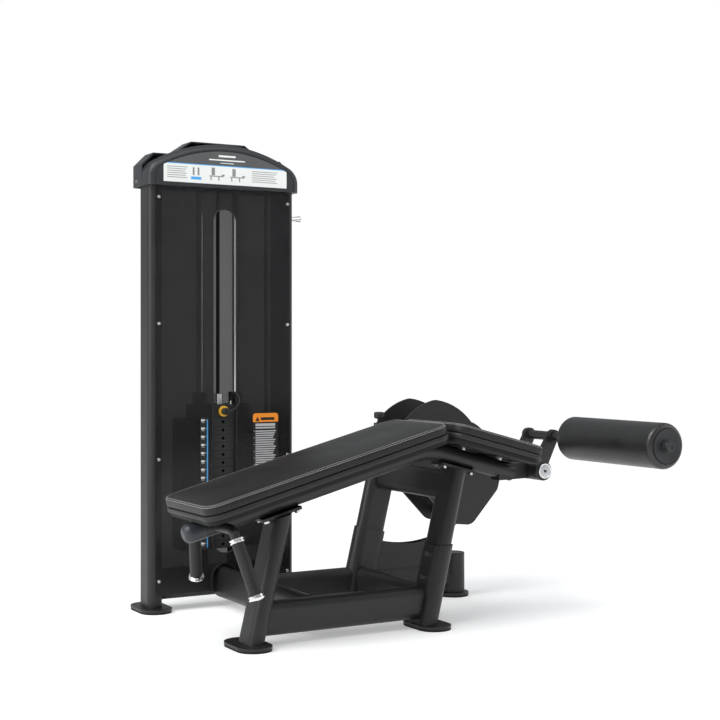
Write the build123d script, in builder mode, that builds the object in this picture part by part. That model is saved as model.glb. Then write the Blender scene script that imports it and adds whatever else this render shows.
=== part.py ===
"""Lying leg curl: a weight tower, a base frame with an inclined bench, and a swinging roller lever.

Frame: +X along the bench towards the roller, +Y across towards the weight tower, +Z up.
The origin is on the floor, under the centre of the head-end foot.
"""
import os
from math import asin, atan2, cos, degrees, hypot, pi, radians, sin, sqrt, tan

from build123d import *

# ---- frame tubes ----
TUBE_WIDE = 50.0          # flat-oval frame tube, narrow side
TUBE_TALL = 100.0         # flat-oval frame tube, long side
TUBE_WALL = 3.0
RAIL_BOTTOM = 28.0        # clear height under the base rails
UPPER_TUBE_TALL = 90.0    # upper cross tube, long side
UPPER_TUBE_Z = 425.0

# ---- feet ----
FOOT_WIDE = 105.0
FOOT_LONG = 181.0
FOOT_PLATE = 8.0          # steel plate thickness
FOOT_RUBBER = 6.0         # rubber pad under the plate
FOOT_HOLE_R = 6.0         # floor-bolt hole radius
FOOT_HOLE_EDGE = 22.0     # hole centre to the foot's far end

# ---- bench legs ----
LEG_LEAN = 13.5           # degrees, towards the roller
HEAD_LEG_X = 10.0         # leg centre where it meets its foot
KNEE_LEG_X = 585.0
KNEE_FOOT_X = 600.0
FAR_FRAME_Y = 415.0       # centre of the frame under the lever
SLEEVE_WALL = 5.0         # socket round the foot of each knee leg
SLEEVE_TOP = 250.0
SLEEVE_FIT = 0.2
FAR_LEG_TOP = 540.0
LEG_BOLT_Z = (145.0, 215.0)

# ---- bench: pads, beam ----
HIP_X = 596.0             # the peak between the two pads
HIP_Z = 633.0
MAIN_TILT = 14.75         # degrees, main pad falls towards the head end
THIGH_TILT = 14.75        # degrees, thigh pad falls towards the knee
MAIN_PAD_LONG = 805.0
THIGH_PAD_LONG = 336.0
PAD_WIDE = 330.0
PAD_GAP = 18.0            # from the peak to each pad's end, along its slope
FOAM_THICK = 46.0
FOAM_EDGE_R = 10.0
BOARD_THICK = 12.0
BOARD_INSET = 7.0
PAD_CORNER_R = 42.0
BRACKET_THICK = 4.0
BRACKET_WIDE = 44.0       # knee bracket between the beam and the pivot housing
BRACKET_BACK = 60.0       # how far the knee bracket runs back along the beam
BRACKET_LOW = 10.0        # and how far it reaches below the beam there
BEAM_D = 56.0
BEAM_WALL = 3.5
BEAM_BEND_R = 160.0
BEAM_HEAD_X = -140.0
BEAM_KNEE_X = 913.0
BEAM_CAP_LONG = 60.0
BEAM_CAP_ROUND = 20.0
MAIN_BRACKET_U = (190.0, 480.0, 690.0)     # from the peak, along the main pad
THIGH_BRACKET_U = (110.0, 250.0)
PAD_BRACKET_WIDE = 170.0
PAD_BRACKET_LONG = 46.0
PAD_BRACKET_CORNER_R = 6.0
PAD_BOLT_Y = 66.0
SADDLE_THICK = 8.0
SADDLE_LONG = 130.0
SADDLE_WIDE = 66.0
SADDLE_CORNER_R = 8.0
SADDLE_BOLT_U = 50.0      # bolt from the saddle's centre, along the beam
SADDLE_BOLT_Y = 22.0

# ---- knee pivot and lever ----
PIVOT_X = 987.0
PIVOT_Z = 462.0
HOUSING_D = 61.0
HOUSING_LONG = 146.0
HOUSING_BORE_STEP = 6.0
SHAFT_D = 28.0
RUN_FIT = 0.05            # radial running clearance
BUSH_D = 40.0
BUSH_LONG = 24.0
SHAFT_CAP_D = 47.0
SHAFT_CAP_EDGE = 2.0
SHAFT_BORE_D = 10.0       # dimple in the cap's face
SHAFT_BORE_DEEP = 3.0
CAP_RUN_GAP = 0.5         # cap to the housing's end
SHAFT_CAP_LONG = 7.0
ARM_SPACING = 133.0       # centre to centre of the two lever arms
ARM_THICK = 10.0
ARM_HUB_R = 45.0
ARM_ELBOW = (305.0, -26.0, 30.0)   # x, z from the pivot, radius
ROLLER_AT = (361.0, 74.0)          # roller axis from the pivot
ARM_HEAD_R = 24.0
AXLE_D = 32.0
ROLLER_D = 148.0
ROLLER_LONG = 472.0
ROLLER_CORE_WALL = 4.0
ROLLER_EDGE_R = 16.0
ROLLER_DISC_D = 112.0
ROLLER_DISC_THICK = 6.0
ROLLER_KNOB_D = 38.0
ROLLER_KNOB_LONG = 20.0
ROLLER_KNOB_ROUND = 4.0
AXLE_COLLAR_D = 46.0
AXLE_COLLAR_LONG = 10.0
CAM_R = 140.0
CAM_WIDE = 34.0
CAM_HUB_D = 44.0
BELT_WIDE = 25.0
BELT_THICK = 3.0
BELT_GAP = 0.4
BELT_SLOT = 12.0          # slot for the belt through the tower's top beam
BELT_SLOT_SPARE = 6.0     # the slot's length past the belt's width

# ---- cam guard, on the far frame ----
GUARD_THICK = 6.0
GUARD_CLEAR = 6.0         # arm to guard plate
GUARD_CORNER_R = 40.0
GUARD_TIE_D = 32.0

# ---- outrigger post ----
POST_X = 972.0
POST_D = 80.0
POST_TOP = 143.0
POST_FOOT_D = 108.0
POST_CAP_THICK = 5.0

# ---- weight tower ----
TOWER_X = 206.5
TOWER_Y = 667.0
TOWER_WIDE = 519.0        # over the outsides of the posts
POST_TOP_Z = 1410.0
BASE_TUBE_Z = 33.0
PANEL_THICK = 6.0
PANEL_BOTTOM = 56.0
PANEL_TOP = 1366.0
PANEL_WIDE = TOWER_WIDE - 41.0    # ends on the posts' faces
PANEL_CORNER_R = 8.0
PANEL_SCREW_INSET = 9.0
PANEL_SCREW_Z = (100.0, 490.0, 925.0, 1330.0)
SCREW_D = 10.0
SCREW_TALL = 2.5
SCREW_ROUND = 1.5
SLOT_WIDE = 86.0
SLOT_BOTTOM = 174.0
SLOT_TOP = 1302.0
NOTCH_WIDE = 90.0
NOTCH_TOP = 142.0
REAR_PANEL_THICK = 3.0
HEADER_WIDE = TOWER_WIDE + 18.0   # over the posts' outsides
HEADER_BOTTOM = 1368.0
HEADER_SHOULDER = 1427.0
HEADER_TOP = 1512.0
HEADER_FRONT_Y = 598.0
HEADER_EDGE_R = 20.0      # rounding of the header's front edge
HEADER_JOINT_Y = 664.0
HEADER_REAR_Y = 748.0
HEADER_WALL = 4.0
HEADER_BASE_DROP = 10.0   # how far the header's hollow runs on below its open base
TOP_BEAM_TALL = 34.0
TOP_BEAM_CORNER_R = 6.0

# ---- weight stack ----
PLATE_COUNT = 16
PLATE_PITCH = 26.7
PLATE_WIDE = 288.0
PLATE_DEEP = 86.0
PLATE_GAP = 0.7
STACK_BOTTOM = 190.0
HEAD_PLATE_WIDE = 194.0
HEAD_PLATE_TALL = 44.0
ROD_D = 25.0
ROD_SPACING = 130.0
ROD_SLIDE_FIT = 0.6
ROD_TOP = 1372.0
BUMPER_D = 48.0
BUMPER_TALL = 40.0
BUMPER_ROUND = 3.0
CUSHION_D = 56.0          # rubber cushions under the stack
PLATE_CORNER_R = 4.0
HEAD_PLATE_ROUND = 3.0
SELECTOR_D = 22.0
SELECTOR_SLIDE_FIT = 1.5
SELECTOR_TAIL = 400.0     # selector rod below the head plate's underside
PIN_D = 9.5
PIN_REACH = 62.0
PIN_FIT = 0.35
PULLEY_D = 60.0
PULLEY_WIDE = 30.0
PULLEY_RIM = 4.0          # rim height past the groove
PULLEY_RIM_THICK = 1.5
PULLEY_AXLE_D = 12.0
PULLEY_TOP_Z = 1444.0
PULLEY_CHEEK = 5.0
PULLEY_CHEEK_GAP = 2.0
BELT_FITTING_TALL = 34.0
BELT_FITTING = (22.0, 33.0, 4.0)   # along, across, corner radius
BELT_LIFT_END = 12.0      # the lift run ends this far below the top pulleys' axles
RAIL_PULLEY_X = 862.0
RAIL_PULLEY_Z = 166.0

GUSSET_LEFT_Z = 238.0
GUSSET_RIGHT_Z = 206.0
GUSSET_FOOT_Z = 100.0
GUSSET_START = 20.0       # past the far leg's foot
GUSSET_END = 34.0         # past the rail pulley's axle
GUSSET_DIP_AT = 120.0     # where the curved edge is lowest
GUSSET_DIP = 8.0
PIN_COLLAR_D = 35.0
PIN_COLLAR_LONG = 9.0
PIN_KNOB_D = 24.0
PIN_KNOB_LONG = 14.0
PIN_KNOB_SET = 4.0        # how far the knob stands past its centre piece
PIN_KNOB_ROUND = 4.0
PIN_FACE_GAP = 0.5        # collar to the head plate

# ---- lanyard between the selector pin and the head plate ----
LANYARD_D = 4.0
LANYARD_SHARE = 0.45      # share of the shorter run that each bend takes up
LANYARD_EYE = (238.0, 633.0, 673.0)
LANYARD_EYE_D = 8.0
LANYARD_ROUTE = [
    (208.0, 596.9, 639.0),
    (208.0, 585.0, 639.0),
    (221.0, 576.0, 646.0),
    (237.0, 575.0, 657.0),
    (247.0, 581.0, 673.0),
    (249.0, 593.0, 689.0),
    (243.0, 606.0, 700.0),
    (239.0, 621.0, 701.0),
    (238.0, 633.0, 689.0),
    (238.0, 633.0, 673.0),
]

# ---- labels and small fittings ----
LABEL_X = 133.5
LABEL_WIDE = 28.0
LABEL_BOTTOM = 190.0
LABEL_TOP = 622.0
LABEL_THICK = 0.8
PLACARD_MARGIN = 49.0      # header's side to the placard's
PLACARD_MARGIN_TOP = 25.0
PLACARD_LOW = 12.0
PLACARD_SIDE_TALL = 54.0
CAUTION_X = 354.5
CAUTION_WIDE = 93.0
CAUTION_BOTTOM = 300.0
CAUTION_TOP = 630.0
HEADER_ROUND_R = 60.0
HEADER_SCREW_BACK = 40.0
HEADER_SCREW_UP = 18.0
HEADER_REAR_SHOULDER = 1478.0
HEADER_REAR_TOP = 1523.0
HEADER_REAR_CHAMFER = 40.0
HEADER_REAR_EDGE_R = 12.0
REAR_RISE_OUT = 162.0     # the raised middle's ramps, from the header's centre
REAR_RISE_IN = 96.0
CAUTION_CORNER_R = 10.0
PEG_Z = 1285.0
PEG_D = 14.0
PEG_LONG = 40.0
PEG_END_D = 24.0
PEG_END_LONG = 6.0
START_PIN_X = 660.0
START_PIN_Y = 385.0
START_PIN_Z = 600.0
START_PIN_D = 12.0
START_STEM_LONG = 14.0
START_BLOCK_TALL = 26.0
START_BLOCK = (30.0, 26.0, 5.0)    # long, wide, corner radius
START_ARM_THICK = 8.0
START_KNOB_ROUND = 6.0
START_KNOB_D = 34.0
START_KNOB_TALL = 22.0

# ---- handles ----
HANDLE_X = -107.0
HANDLE_BAR_D = 28.0
HANDLE_CORNER_Y = 134.0
HANDLE_END = (-72.0, 200.0, 185.0)
HANDLE_BEND_R = 30.0
GRIP_D = 35.0
GRIP_LONG = 148.0
GRIP_FIT = 0.2
COLLAR_D = 43.0
COLLAR_LONG = 12.0
END_CAP_D = 45.0
END_CAP_LONG = 10.0       # straight part of the handle's end cap
END_CAP_TIP = 6.0         # and its tapered tip
END_CAP_TAPER = 40.0      # degrees

# ---- fasteners ----
BOLT_D = 10.0
HEAD_D = 17.0
HEAD_TALL = 7.0

# ---- sizes worked out from those above ----
FOOT_TOP = FOOT_RUBBER + FOOT_PLATE
RAIL_Z = RAIL_BOTTOM + TUBE_TALL / 2
PAD_THICK = FOAM_THICK + BOARD_THICK
BEAM_DROP = PAD_THICK + BRACKET_THICK + BEAM_D / 2
BEAM_PEAK_Z = HIP_Z - BEAM_DROP / cos(radians(MAIN_TILT))
SADDLE_DROP = BEAM_DROP + BEAM_D / 2 + SADDLE_THICK
POST_LEFT_X = TOWER_X - TOWER_WIDE / 2 + TUBE_WIDE / 2
POST_RIGHT_X = TOWER_X + TOWER_WIDE / 2 - TUBE_WIDE / 2
TOWER_FRONT_Y = TOWER_Y - TUBE_TALL / 2
TOWER_REAR_Y = TOWER_Y + TUBE_TALL / 2
STACK_Y = TOWER_Y
STACK_TOP = STACK_BOTTOM + PLATE_COUNT * PLATE_PITCH
HEAD_PLATE_TOP = STACK_TOP + HEAD_PLATE_TALL
BASE_TUBE_TOP = BASE_TUBE_Z + TUBE_TALL
TOP_BEAM_TOP = ROD_TOP + TOP_BEAM_TALL
BELT_UP_X = TOWER_X                                  # the run above the stack
BELT_DOWN_X = (TOWER_X + PLATE_WIDE / 2 + POST_RIGHT_X - TUBE_WIDE / 2) / 2
ARM_NEAR_Y = FAR_FRAME_Y - ARM_SPACING / 2
ARM_FAR_Y = FAR_FRAME_Y + ARM_SPACING / 2
GUARD_NEAR_Y = ARM_NEAR_Y - ARM_THICK / 2 - GUARD_CLEAR - GUARD_THICK
GUARD_FAR_Y = ARM_FAR_Y + ARM_THICK / 2 + GUARD_CLEAR
SHAFT_START = -HOUSING_LONG / 2
SHAFT_END = GUARD_FAR_Y + GUARD_THICK + BUSH_LONG / 2
AXLE_START = -ROLLER_LONG / 2 - ROLLER_KNOB_LONG / 2
AXLE_END = ARM_FAR_Y + ARM_THICK / 2 + AXLE_COLLAR_LONG
GUSSET_X = (KNEE_LEG_X + GUSSET_START, RAIL_PULLEY_X + GUSSET_END)
LEAN = radians(LEG_LEAN)

FLOOR = Plane.XY
TALL_BENCH = Plane.XZ     # local x = X, local y = Z, normal towards -Y

os.makedirs("parts", exist_ok=True)


def save(piece, label):
    """Name one finished piece and write it to its own STEP file."""
    piece.part.label = label
    export_step(piece.part, f"parts/{label}.step")


def side_plane(y):
    """A plane facing -Y through the given Y, drawn in X and Z."""
    return TALL_BENCH.offset(-y)


def lean_plane(x, y, height=0.0):
    """Plane across a leaning leg, whose centre meets the foot at x, y."""
    origin = (x + height * tan(LEAN), y, FOOT_TOP + height)
    return Plane(origin=origin, x_dir=(0, 1, 0), z_dir=(sin(LEAN), 0, cos(LEAN)))


def main_plane(drop=0.0):
    """Plane along the main pad's top, lowered by drop; local x runs from the peak to the head end."""
    tilt = radians(MAIN_TILT)
    origin = (HIP_X + drop * sin(tilt), 0, HIP_Z - drop * cos(tilt))
    return Plane(origin=origin, x_dir=(-cos(tilt), 0, -sin(tilt)), z_dir=(-sin(tilt), 0, cos(tilt)))


def thigh_plane(drop=0.0):
    """Plane along the thigh pad's top, lowered by drop; local x runs from the peak to the knee."""
    tilt = radians(THIGH_TILT)
    origin = (HIP_X - drop * sin(tilt), 0, HIP_Z - drop * cos(tilt))
    return Plane(origin=origin, x_dir=(cos(tilt), 0, -sin(tilt)), z_dir=(sin(tilt), 0, cos(tilt)))


def beam_z(x):
    """Height of the bench beam's centre line at x, away from its bend."""
    if x < HIP_X:
        return BEAM_PEAK_Z - (HIP_X - x) * tan(radians(MAIN_TILT))
    return BEAM_PEAK_Z - (x - HIP_X) * tan(radians(THIGH_TILT))


def oval(long_side, short_side, wall=0.0, turn=0.0):
    """A flat-oval section in the current sketch; hollow when a wall is given."""
    SlotOverall(long_side, short_side, rotation=turn)
    if wall:
        SlotOverall(long_side - 2 * wall, short_side - 2 * wall, rotation=turn, mode=Mode.SUBTRACT)


def ring(outer_d, inner_d):
    """An annulus in the current sketch."""
    Circle(outer_d / 2)
    Circle(inner_d / 2, mode=Mode.SUBTRACT)


# =====================================================================  solid cores, for coped ends
with BuildPart() as head_leg_core:
    with BuildSketch(lean_plane(HEAD_LEG_X, 0, -FOOT_TOP)):
        oval(TUBE_TALL, TUBE_WIDE)
    extrude(amount=FAR_LEG_TOP)

with BuildPart() as knee_sleeve_core:
    with BuildSketch(lean_plane(KNEE_LEG_X, 0, -FOOT_TOP)):
        oval(TUBE_TALL + 2 * SLEEVE_WALL, TUBE_WIDE + 2 * SLEEVE_WALL)
    extrude(amount=FAR_LEG_TOP)
    split(bisect_by=FLOOR.offset(SLEEVE_TOP), keep=Keep.BOTTOM)

with BuildPart() as knee_leg_core:
    with BuildSketch(lean_plane(KNEE_LEG_X, 0, -FOOT_TOP)):
        oval(TUBE_TALL, TUBE_WIDE)
    extrude(amount=FAR_LEG_TOP)

with BuildPart() as far_sleeve_core:
    with BuildSketch(lean_plane(KNEE_LEG_X, FAR_FRAME_Y, -FOOT_TOP)):
        oval(TUBE_TALL + 2 * SLEEVE_WALL, TUBE_WIDE + 2 * SLEEVE_WALL, turn=90)
    extrude(amount=FAR_LEG_TOP)
    split(bisect_by=FLOOR.offset(SLEEVE_TOP), keep=Keep.BOTTOM)

with BuildPart() as far_leg_core:
    with BuildSketch(lean_plane(KNEE_LEG_X, FAR_FRAME_Y, -FOOT_TOP)):
        oval(TUBE_TALL, TUBE_WIDE, turn=90)
    extrude(amount=FAR_LEG_TOP + TUBE_TALL)
    split(bisect_by=FLOOR.offset(FAR_LEG_TOP), keep=Keep.BOTTOM)

with BuildPart() as post_pair_core:
    with BuildSketch(FLOOR.offset(FOOT_TOP)):
        with Locations((POST_LEFT_X, TOWER_Y), (POST_RIGHT_X, TOWER_Y)):
            oval(TUBE_TALL, TUBE_WIDE, turn=90)
    extrude(amount=POST_TOP_Z - FOOT_TOP)

with BuildPart() as outrigger_core:
    with BuildSketch(FLOOR.offset(FOOT_TOP)):
        with Locations((POST_X, FAR_FRAME_Y)):
            Circle(POST_D / 2)
    extrude(amount=POST_TOP - FOOT_TOP)

BEAM_POINTS = [
    (BEAM_HEAD_X, beam_z(BEAM_HEAD_X)),
    (HIP_X, BEAM_PEAK_Z),
    (BEAM_KNEE_X, beam_z(BEAM_KNEE_X)),
]


def beam_start():
    """Plane across the beam at its head end."""
    tilt = radians(MAIN_TILT)
    origin = (BEAM_POINTS[0][0], 0, BEAM_POINTS[0][1])
    return Plane(origin=origin, x_dir=(0, 1, 0), z_dir=(cos(tilt), 0, sin(tilt)))


with BuildPart() as beam_core:
    with BuildLine(TALL_BENCH) as beam_line:
        FilletPolyline(*BEAM_POINTS, radius=BEAM_BEND_R)
    with BuildSketch(beam_start()):
        Circle(BEAM_D / 2)
    sweep(path=beam_line.wires()[0])

# =====================================================================  weight tower frame
with BuildPart() as tower_posts:
    with BuildSketch(FLOOR.offset(FOOT_TOP)):
        with Locations((POST_LEFT_X, TOWER_Y), (POST_RIGHT_X, TOWER_Y)):
            oval(TUBE_TALL, TUBE_WIDE, TUBE_WALL, turn=90)
    extrude(amount=POST_TOP_Z - FOOT_TOP)
save(tower_posts, "tower_posts")

with BuildPart() as tower_base_tube:
    with BuildSketch(Plane.YZ.offset(POST_LEFT_X)):
        with Locations((TOWER_Y, BASE_TUBE_Z + TUBE_TALL / 2)):
            oval(TUBE_TALL, TUBE_WIDE, TUBE_WALL, turn=90)
    extrude(amount=POST_RIGHT_X - POST_LEFT_X)
    add(post_pair_core.part, mode=Mode.SUBTRACT)
save(tower_base_tube, "tower_base_tube")

with BuildPart() as tower_top_beam:
    with BuildSketch(Plane.YZ.offset(POST_LEFT_X)):
        with Locations((TOWER_Y, ROD_TOP + TOP_BEAM_TALL / 2)):
            RectangleRounded(TUBE_WIDE, TOP_BEAM_TALL, TOP_BEAM_CORNER_R)
            RectangleRounded(TUBE_WIDE - 2 * TUBE_WALL, TOP_BEAM_TALL - 2 * TUBE_WALL,
                             TOP_BEAM_CORNER_R - TUBE_WALL, mode=Mode.SUBTRACT)
    extrude(amount=POST_RIGHT_X - POST_LEFT_X)
    add(post_pair_core.part, mode=Mode.SUBTRACT)
    with BuildSketch(FLOOR.offset(ROD_TOP)):
        with Locations((BELT_UP_X, TOWER_Y), (BELT_DOWN_X, TOWER_Y)):
            Rectangle(BELT_SLOT, BELT_WIDE + BELT_SLOT_SPARE)
    extrude(amount=TOP_BEAM_TALL, mode=Mode.SUBTRACT)
save(tower_top_beam, "tower_top_beam")

# =====================================================================  base frame
RAIL_RISE = (RAIL_Z - FOOT_TOP) * tan(LEAN)          # how far a leg has leant at the rails' height

with BuildPart() as base_cross_tubes:
    with BuildSketch(side_plane(TUBE_WIDE / 2)):
        with Locations((TOWER_X, RAIL_Z)):
            oval(TUBE_TALL, TUBE_WIDE, TUBE_WALL, turn=90)
    extrude(amount=-(TOWER_Y - TUBE_WIDE))
    with BuildSketch(side_plane(TUBE_WIDE / 2)):
        with Locations((KNEE_LEG_X + RAIL_RISE, RAIL_Z)):
            oval(TUBE_TALL, TUBE_WIDE, TUBE_WALL, turn=90)
    extrude(amount=-(FAR_FRAME_Y - TUBE_WIDE / 2))
    add(knee_sleeve_core.part, mode=Mode.SUBTRACT)
    add(far_sleeve_core.part, mode=Mode.SUBTRACT)
save(base_cross_tubes, "base_cross_tubes")

with BuildPart() as near_rail:
    with BuildSketch(Plane.YZ.offset(HEAD_LEG_X + RAIL_RISE)):
        with Locations((0, RAIL_Z)):
            oval(TUBE_TALL, TUBE_WIDE, TUBE_WALL, turn=90)
    extrude(amount=KNEE_LEG_X - HEAD_LEG_X)
    add(head_leg_core.part, mode=Mode.SUBTRACT)
    add(knee_sleeve_core.part, mode=Mode.SUBTRACT)
save(near_rail, "near_rail")

with BuildPart() as far_rail:
    with BuildSketch(Plane.YZ.offset(TOWER_X + TUBE_WIDE / 2)):
        with Locations((FAR_FRAME_Y, RAIL_Z)):
            oval(TUBE_TALL, TUBE_WIDE, TUBE_WALL, turn=90)
    extrude(amount=POST_X - TOWER_X - TUBE_WIDE / 2)
    add(far_sleeve_core.part, mode=Mode.SUBTRACT)
    add(outrigger_core.part, mode=Mode.SUBTRACT)
save(far_rail, "far_rail")

with BuildPart() as upper_cross_tube:
    with BuildSketch(side_plane(0)):
        with Locations((KNEE_LEG_X + (UPPER_TUBE_Z - FOOT_TOP) * tan(LEAN), UPPER_TUBE_Z)):
            oval(UPPER_TUBE_TALL, TUBE_WIDE, TUBE_WALL, turn=90 - LEG_LEAN)
    extrude(amount=-FAR_FRAME_Y)
    add(knee_leg_core.part, mode=Mode.SUBTRACT)
    add(far_leg_core.part, mode=Mode.SUBTRACT)
save(upper_cross_tube, "upper_cross_tube")

# =====================================================================  bench legs
with BuildPart() as head_leg:
    with BuildSketch(lean_plane(HEAD_LEG_X, 0, -FOOT_TOP)):
        oval(TUBE_TALL, TUBE_WIDE, TUBE_WALL)
    extrude(amount=FAR_LEG_TOP)
    split(bisect_by=FLOOR.offset(FOOT_TOP), keep=Keep.TOP)
    split(bisect_by=main_plane(SADDLE_DROP), keep=Keep.BOTTOM)
save(head_leg, "head_leg")

with BuildPart() as knee_leg:
    with BuildSketch(lean_plane(KNEE_LEG_X, 0, -FOOT_TOP)):
        oval(TUBE_TALL - 2 * SLEEVE_FIT, TUBE_WIDE - 2 * SLEEVE_FIT, TUBE_WALL)
    extrude(amount=FAR_LEG_TOP)
    split(bisect_by=FLOOR.offset(FOOT_TOP), keep=Keep.TOP)
    split(bisect_by=thigh_plane(SADDLE_DROP), keep=Keep.BOTTOM)
save(knee_leg, "knee_leg")

with BuildPart() as far_leg:
    with BuildSketch(lean_plane(KNEE_LEG_X, FAR_FRAME_Y, -FOOT_TOP)):
        oval(TUBE_TALL - 2 * SLEEVE_FIT, TUBE_WIDE - 2 * SLEEVE_FIT, TUBE_WALL, turn=90)
    extrude(amount=FAR_LEG_TOP + TUBE_TALL)
    split(bisect_by=FLOOR.offset(RAIL_BOTTOM), keep=Keep.TOP)
    split(bisect_by=FLOOR.offset(FAR_LEG_TOP), keep=Keep.BOTTOM)
save(far_leg, "far_leg")

with BuildPart() as leg_sockets:
    with BuildSketch(lean_plane(KNEE_LEG_X, 0, -FOOT_TOP)):
        oval(TUBE_TALL + 2 * SLEEVE_WALL, TUBE_WIDE + 2 * SLEEVE_WALL, SLEEVE_WALL)
    extrude(amount=FAR_LEG_TOP)
    split(bisect_by=FLOOR.offset(FOOT_TOP), keep=Keep.TOP)
    split(bisect_by=FLOOR.offset(SLEEVE_TOP), keep=Keep.BOTTOM)
    with BuildSketch(lean_plane(KNEE_LEG_X, FAR_FRAME_Y, RAIL_BOTTOM - FOOT_TOP)):
        oval(TUBE_TALL + 2 * SLEEVE_WALL, TUBE_WIDE + 2 * SLEEVE_WALL, SLEEVE_WALL, turn=90)
    extrude(amount=(SLEEVE_TOP - RAIL_BOTTOM) / cos(LEAN))
save(leg_sockets, "leg_sockets")

with BuildPart() as outrigger_post:
    with BuildSketch(FLOOR.offset(FOOT_TOP)):
        with Locations((POST_X, FAR_FRAME_Y)):
            ring(POST_D, POST_D - 2 * TUBE_WALL)
    extrude(amount=POST_TOP - FOOT_TOP)
    with BuildSketch(FLOOR.offset(POST_TOP)):
        with Locations((POST_X, FAR_FRAME_Y)):
            Circle(POST_D / 2)
    extrude(amount=POST_CAP_THICK)
    fillet(outrigger_post.faces().sort_by(Axis.Z)[-1].edges(), radius=POST_CAP_THICK / 2)
save(outrigger_post, "outrigger_post")

# =====================================================================  feet
FOOT_PLACES = [(0, 0, 90), (KNEE_FOOT_X, 0, 90), (POST_LEFT_X, TOWER_Y, 90), (POST_RIGHT_X, TOWER_Y, 90)]


def foot_outline(shrink=0.0):
    """The outlines of all five feet in the current sketch."""
    for x, y, turn in FOOT_PLACES:
        with Locations(Location((x, y), turn)):
            SlotOverall(FOOT_LONG - 2 * shrink, FOOT_WIDE - 2 * shrink)
    with Locations((POST_X, FAR_FRAME_Y)):
        Circle(POST_FOOT_D / 2 - shrink)


with BuildPart() as foot_plates:
    with BuildSketch(FLOOR.offset(FOOT_RUBBER)):
        foot_outline()
        for x, y, _ in FOOT_PLACES:
            with Locations((x, y + FOOT_LONG / 2 - FOOT_HOLE_EDGE)):
                Circle(FOOT_HOLE_R, mode=Mode.SUBTRACT)
    extrude(amount=FOOT_PLATE)
save(foot_plates, "foot_plates")

with BuildPart() as foot_rubbers:
    with BuildSketch(FLOOR):
        foot_outline(1.0)
        for x, y, _ in FOOT_PLACES:
            with Locations((x, y + FOOT_LONG / 2 - FOOT_HOLE_EDGE)):
                Circle(FOOT_HOLE_R + 1, mode=Mode.SUBTRACT)
    extrude(amount=FOOT_RUBBER)
save(foot_rubbers, "foot_rubbers")

# =====================================================================  bench beam and what is on it
with BuildPart() as bench_beam:
    add(beam_core.part)
    with BuildSketch(beam_start()):
        Circle(BEAM_D / 2 - BEAM_WALL)
    sweep(path=beam_line.wires()[0], mode=Mode.SUBTRACT)
save(bench_beam, "bench_beam")

with BuildPart() as beam_end_cap:
    with BuildSketch(beam_start()):
        Circle(BEAM_D / 2)
    extrude(amount=-BEAM_CAP_LONG)
    fillet(beam_end_cap.faces().sort_by(Axis.X)[0].edges(), radius=BEAM_CAP_ROUND)
save(beam_end_cap, "beam_end_cap")

with BuildPart() as pivot_housing:
    with BuildSketch(side_plane(-HOUSING_LONG / 2)):
        with Locations((PIVOT_X, PIVOT_Z)):
            ring(HOUSING_D, BUSH_D)
    extrude(amount=-HOUSING_LONG)
    with BuildSketch(side_plane(-HOUSING_LONG / 2 + BUSH_LONG)):
        with Locations((PIVOT_X, PIVOT_Z)):
            ring(HOUSING_D, SHAFT_D + HOUSING_BORE_STEP)
    extrude(amount=-(HOUSING_LONG - 2 * BUSH_LONG))
with BuildPart() as pivot_bushes:
    for start, depth in ((-HOUSING_LONG / 2, BUSH_LONG), (HOUSING_LONG / 2 - BUSH_LONG, BUSH_LONG)):
        with BuildSketch(side_plane(start)):
            with Locations((PIVOT_X, PIVOT_Z)):
                ring(BUSH_D, SHAFT_D + 2 * RUN_FIT)
        extrude(amount=-depth)
    for y in (GUARD_NEAR_Y, GUARD_FAR_Y):
        with BuildSketch(side_plane(y)):
            with Locations((PIVOT_X, PIVOT_Z)):
                ring(BUSH_D, SHAFT_D + 2 * RUN_FIT)
        extrude(amount=-GUARD_THICK)
save(pivot_bushes, "pivot_bushes")

with BuildPart() as pivot_bracket:
    with BuildSketch(side_plane(-BRACKET_WIDE / 2)):
        with BuildLine():
            Polyline(
                (BEAM_KNEE_X - BRACKET_BACK, beam_z(BEAM_KNEE_X - BRACKET_BACK) + HOUSING_BORE_STEP * 2),
                (PIVOT_X, PIVOT_Z + HOUSING_D / 2 - HOUSING_BORE_STEP),
                (PIVOT_X, PIVOT_Z - HOUSING_D / 2 + HOUSING_BORE_STEP),
                (BEAM_KNEE_X - BRACKET_BACK, beam_z(BEAM_KNEE_X - BRACKET_BACK) - BEAM_D / 2 - BRACKET_LOW),
                close=True,
            )
        make_face()
    extrude(amount=-BRACKET_WIDE)
    add(beam_core.part, mode=Mode.SUBTRACT)
    with BuildSketch(side_plane(-HOUSING_LONG)):
        with Locations((PIVOT_X, PIVOT_Z)):
            Circle(HOUSING_D / 2)
    extrude(amount=-2 * HOUSING_LONG, mode=Mode.SUBTRACT)

with BuildPart() as knee_housing:
    add(pivot_housing.part)
    add(pivot_bracket.part)
save(knee_housing, "knee_housing")


def leg_meets(plane, leg_x):
    """Where a leg's centre line meets a plane, along the plane's local x."""
    foot = Vector(leg_x, 0, FOOT_TOP)
    along = Vector(sin(LEAN), 0, cos(LEAN))
    reach = (plane.origin - foot).dot(plane.z_dir) / along.dot(plane.z_dir)
    return (foot + along * reach - plane.origin).dot(plane.x_dir)


SADDLE_HEAD_U = leg_meets(main_plane(SADDLE_DROP), HEAD_LEG_X)
SADDLE_KNEE_U = leg_meets(thigh_plane(SADDLE_DROP), KNEE_LEG_X)

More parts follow.
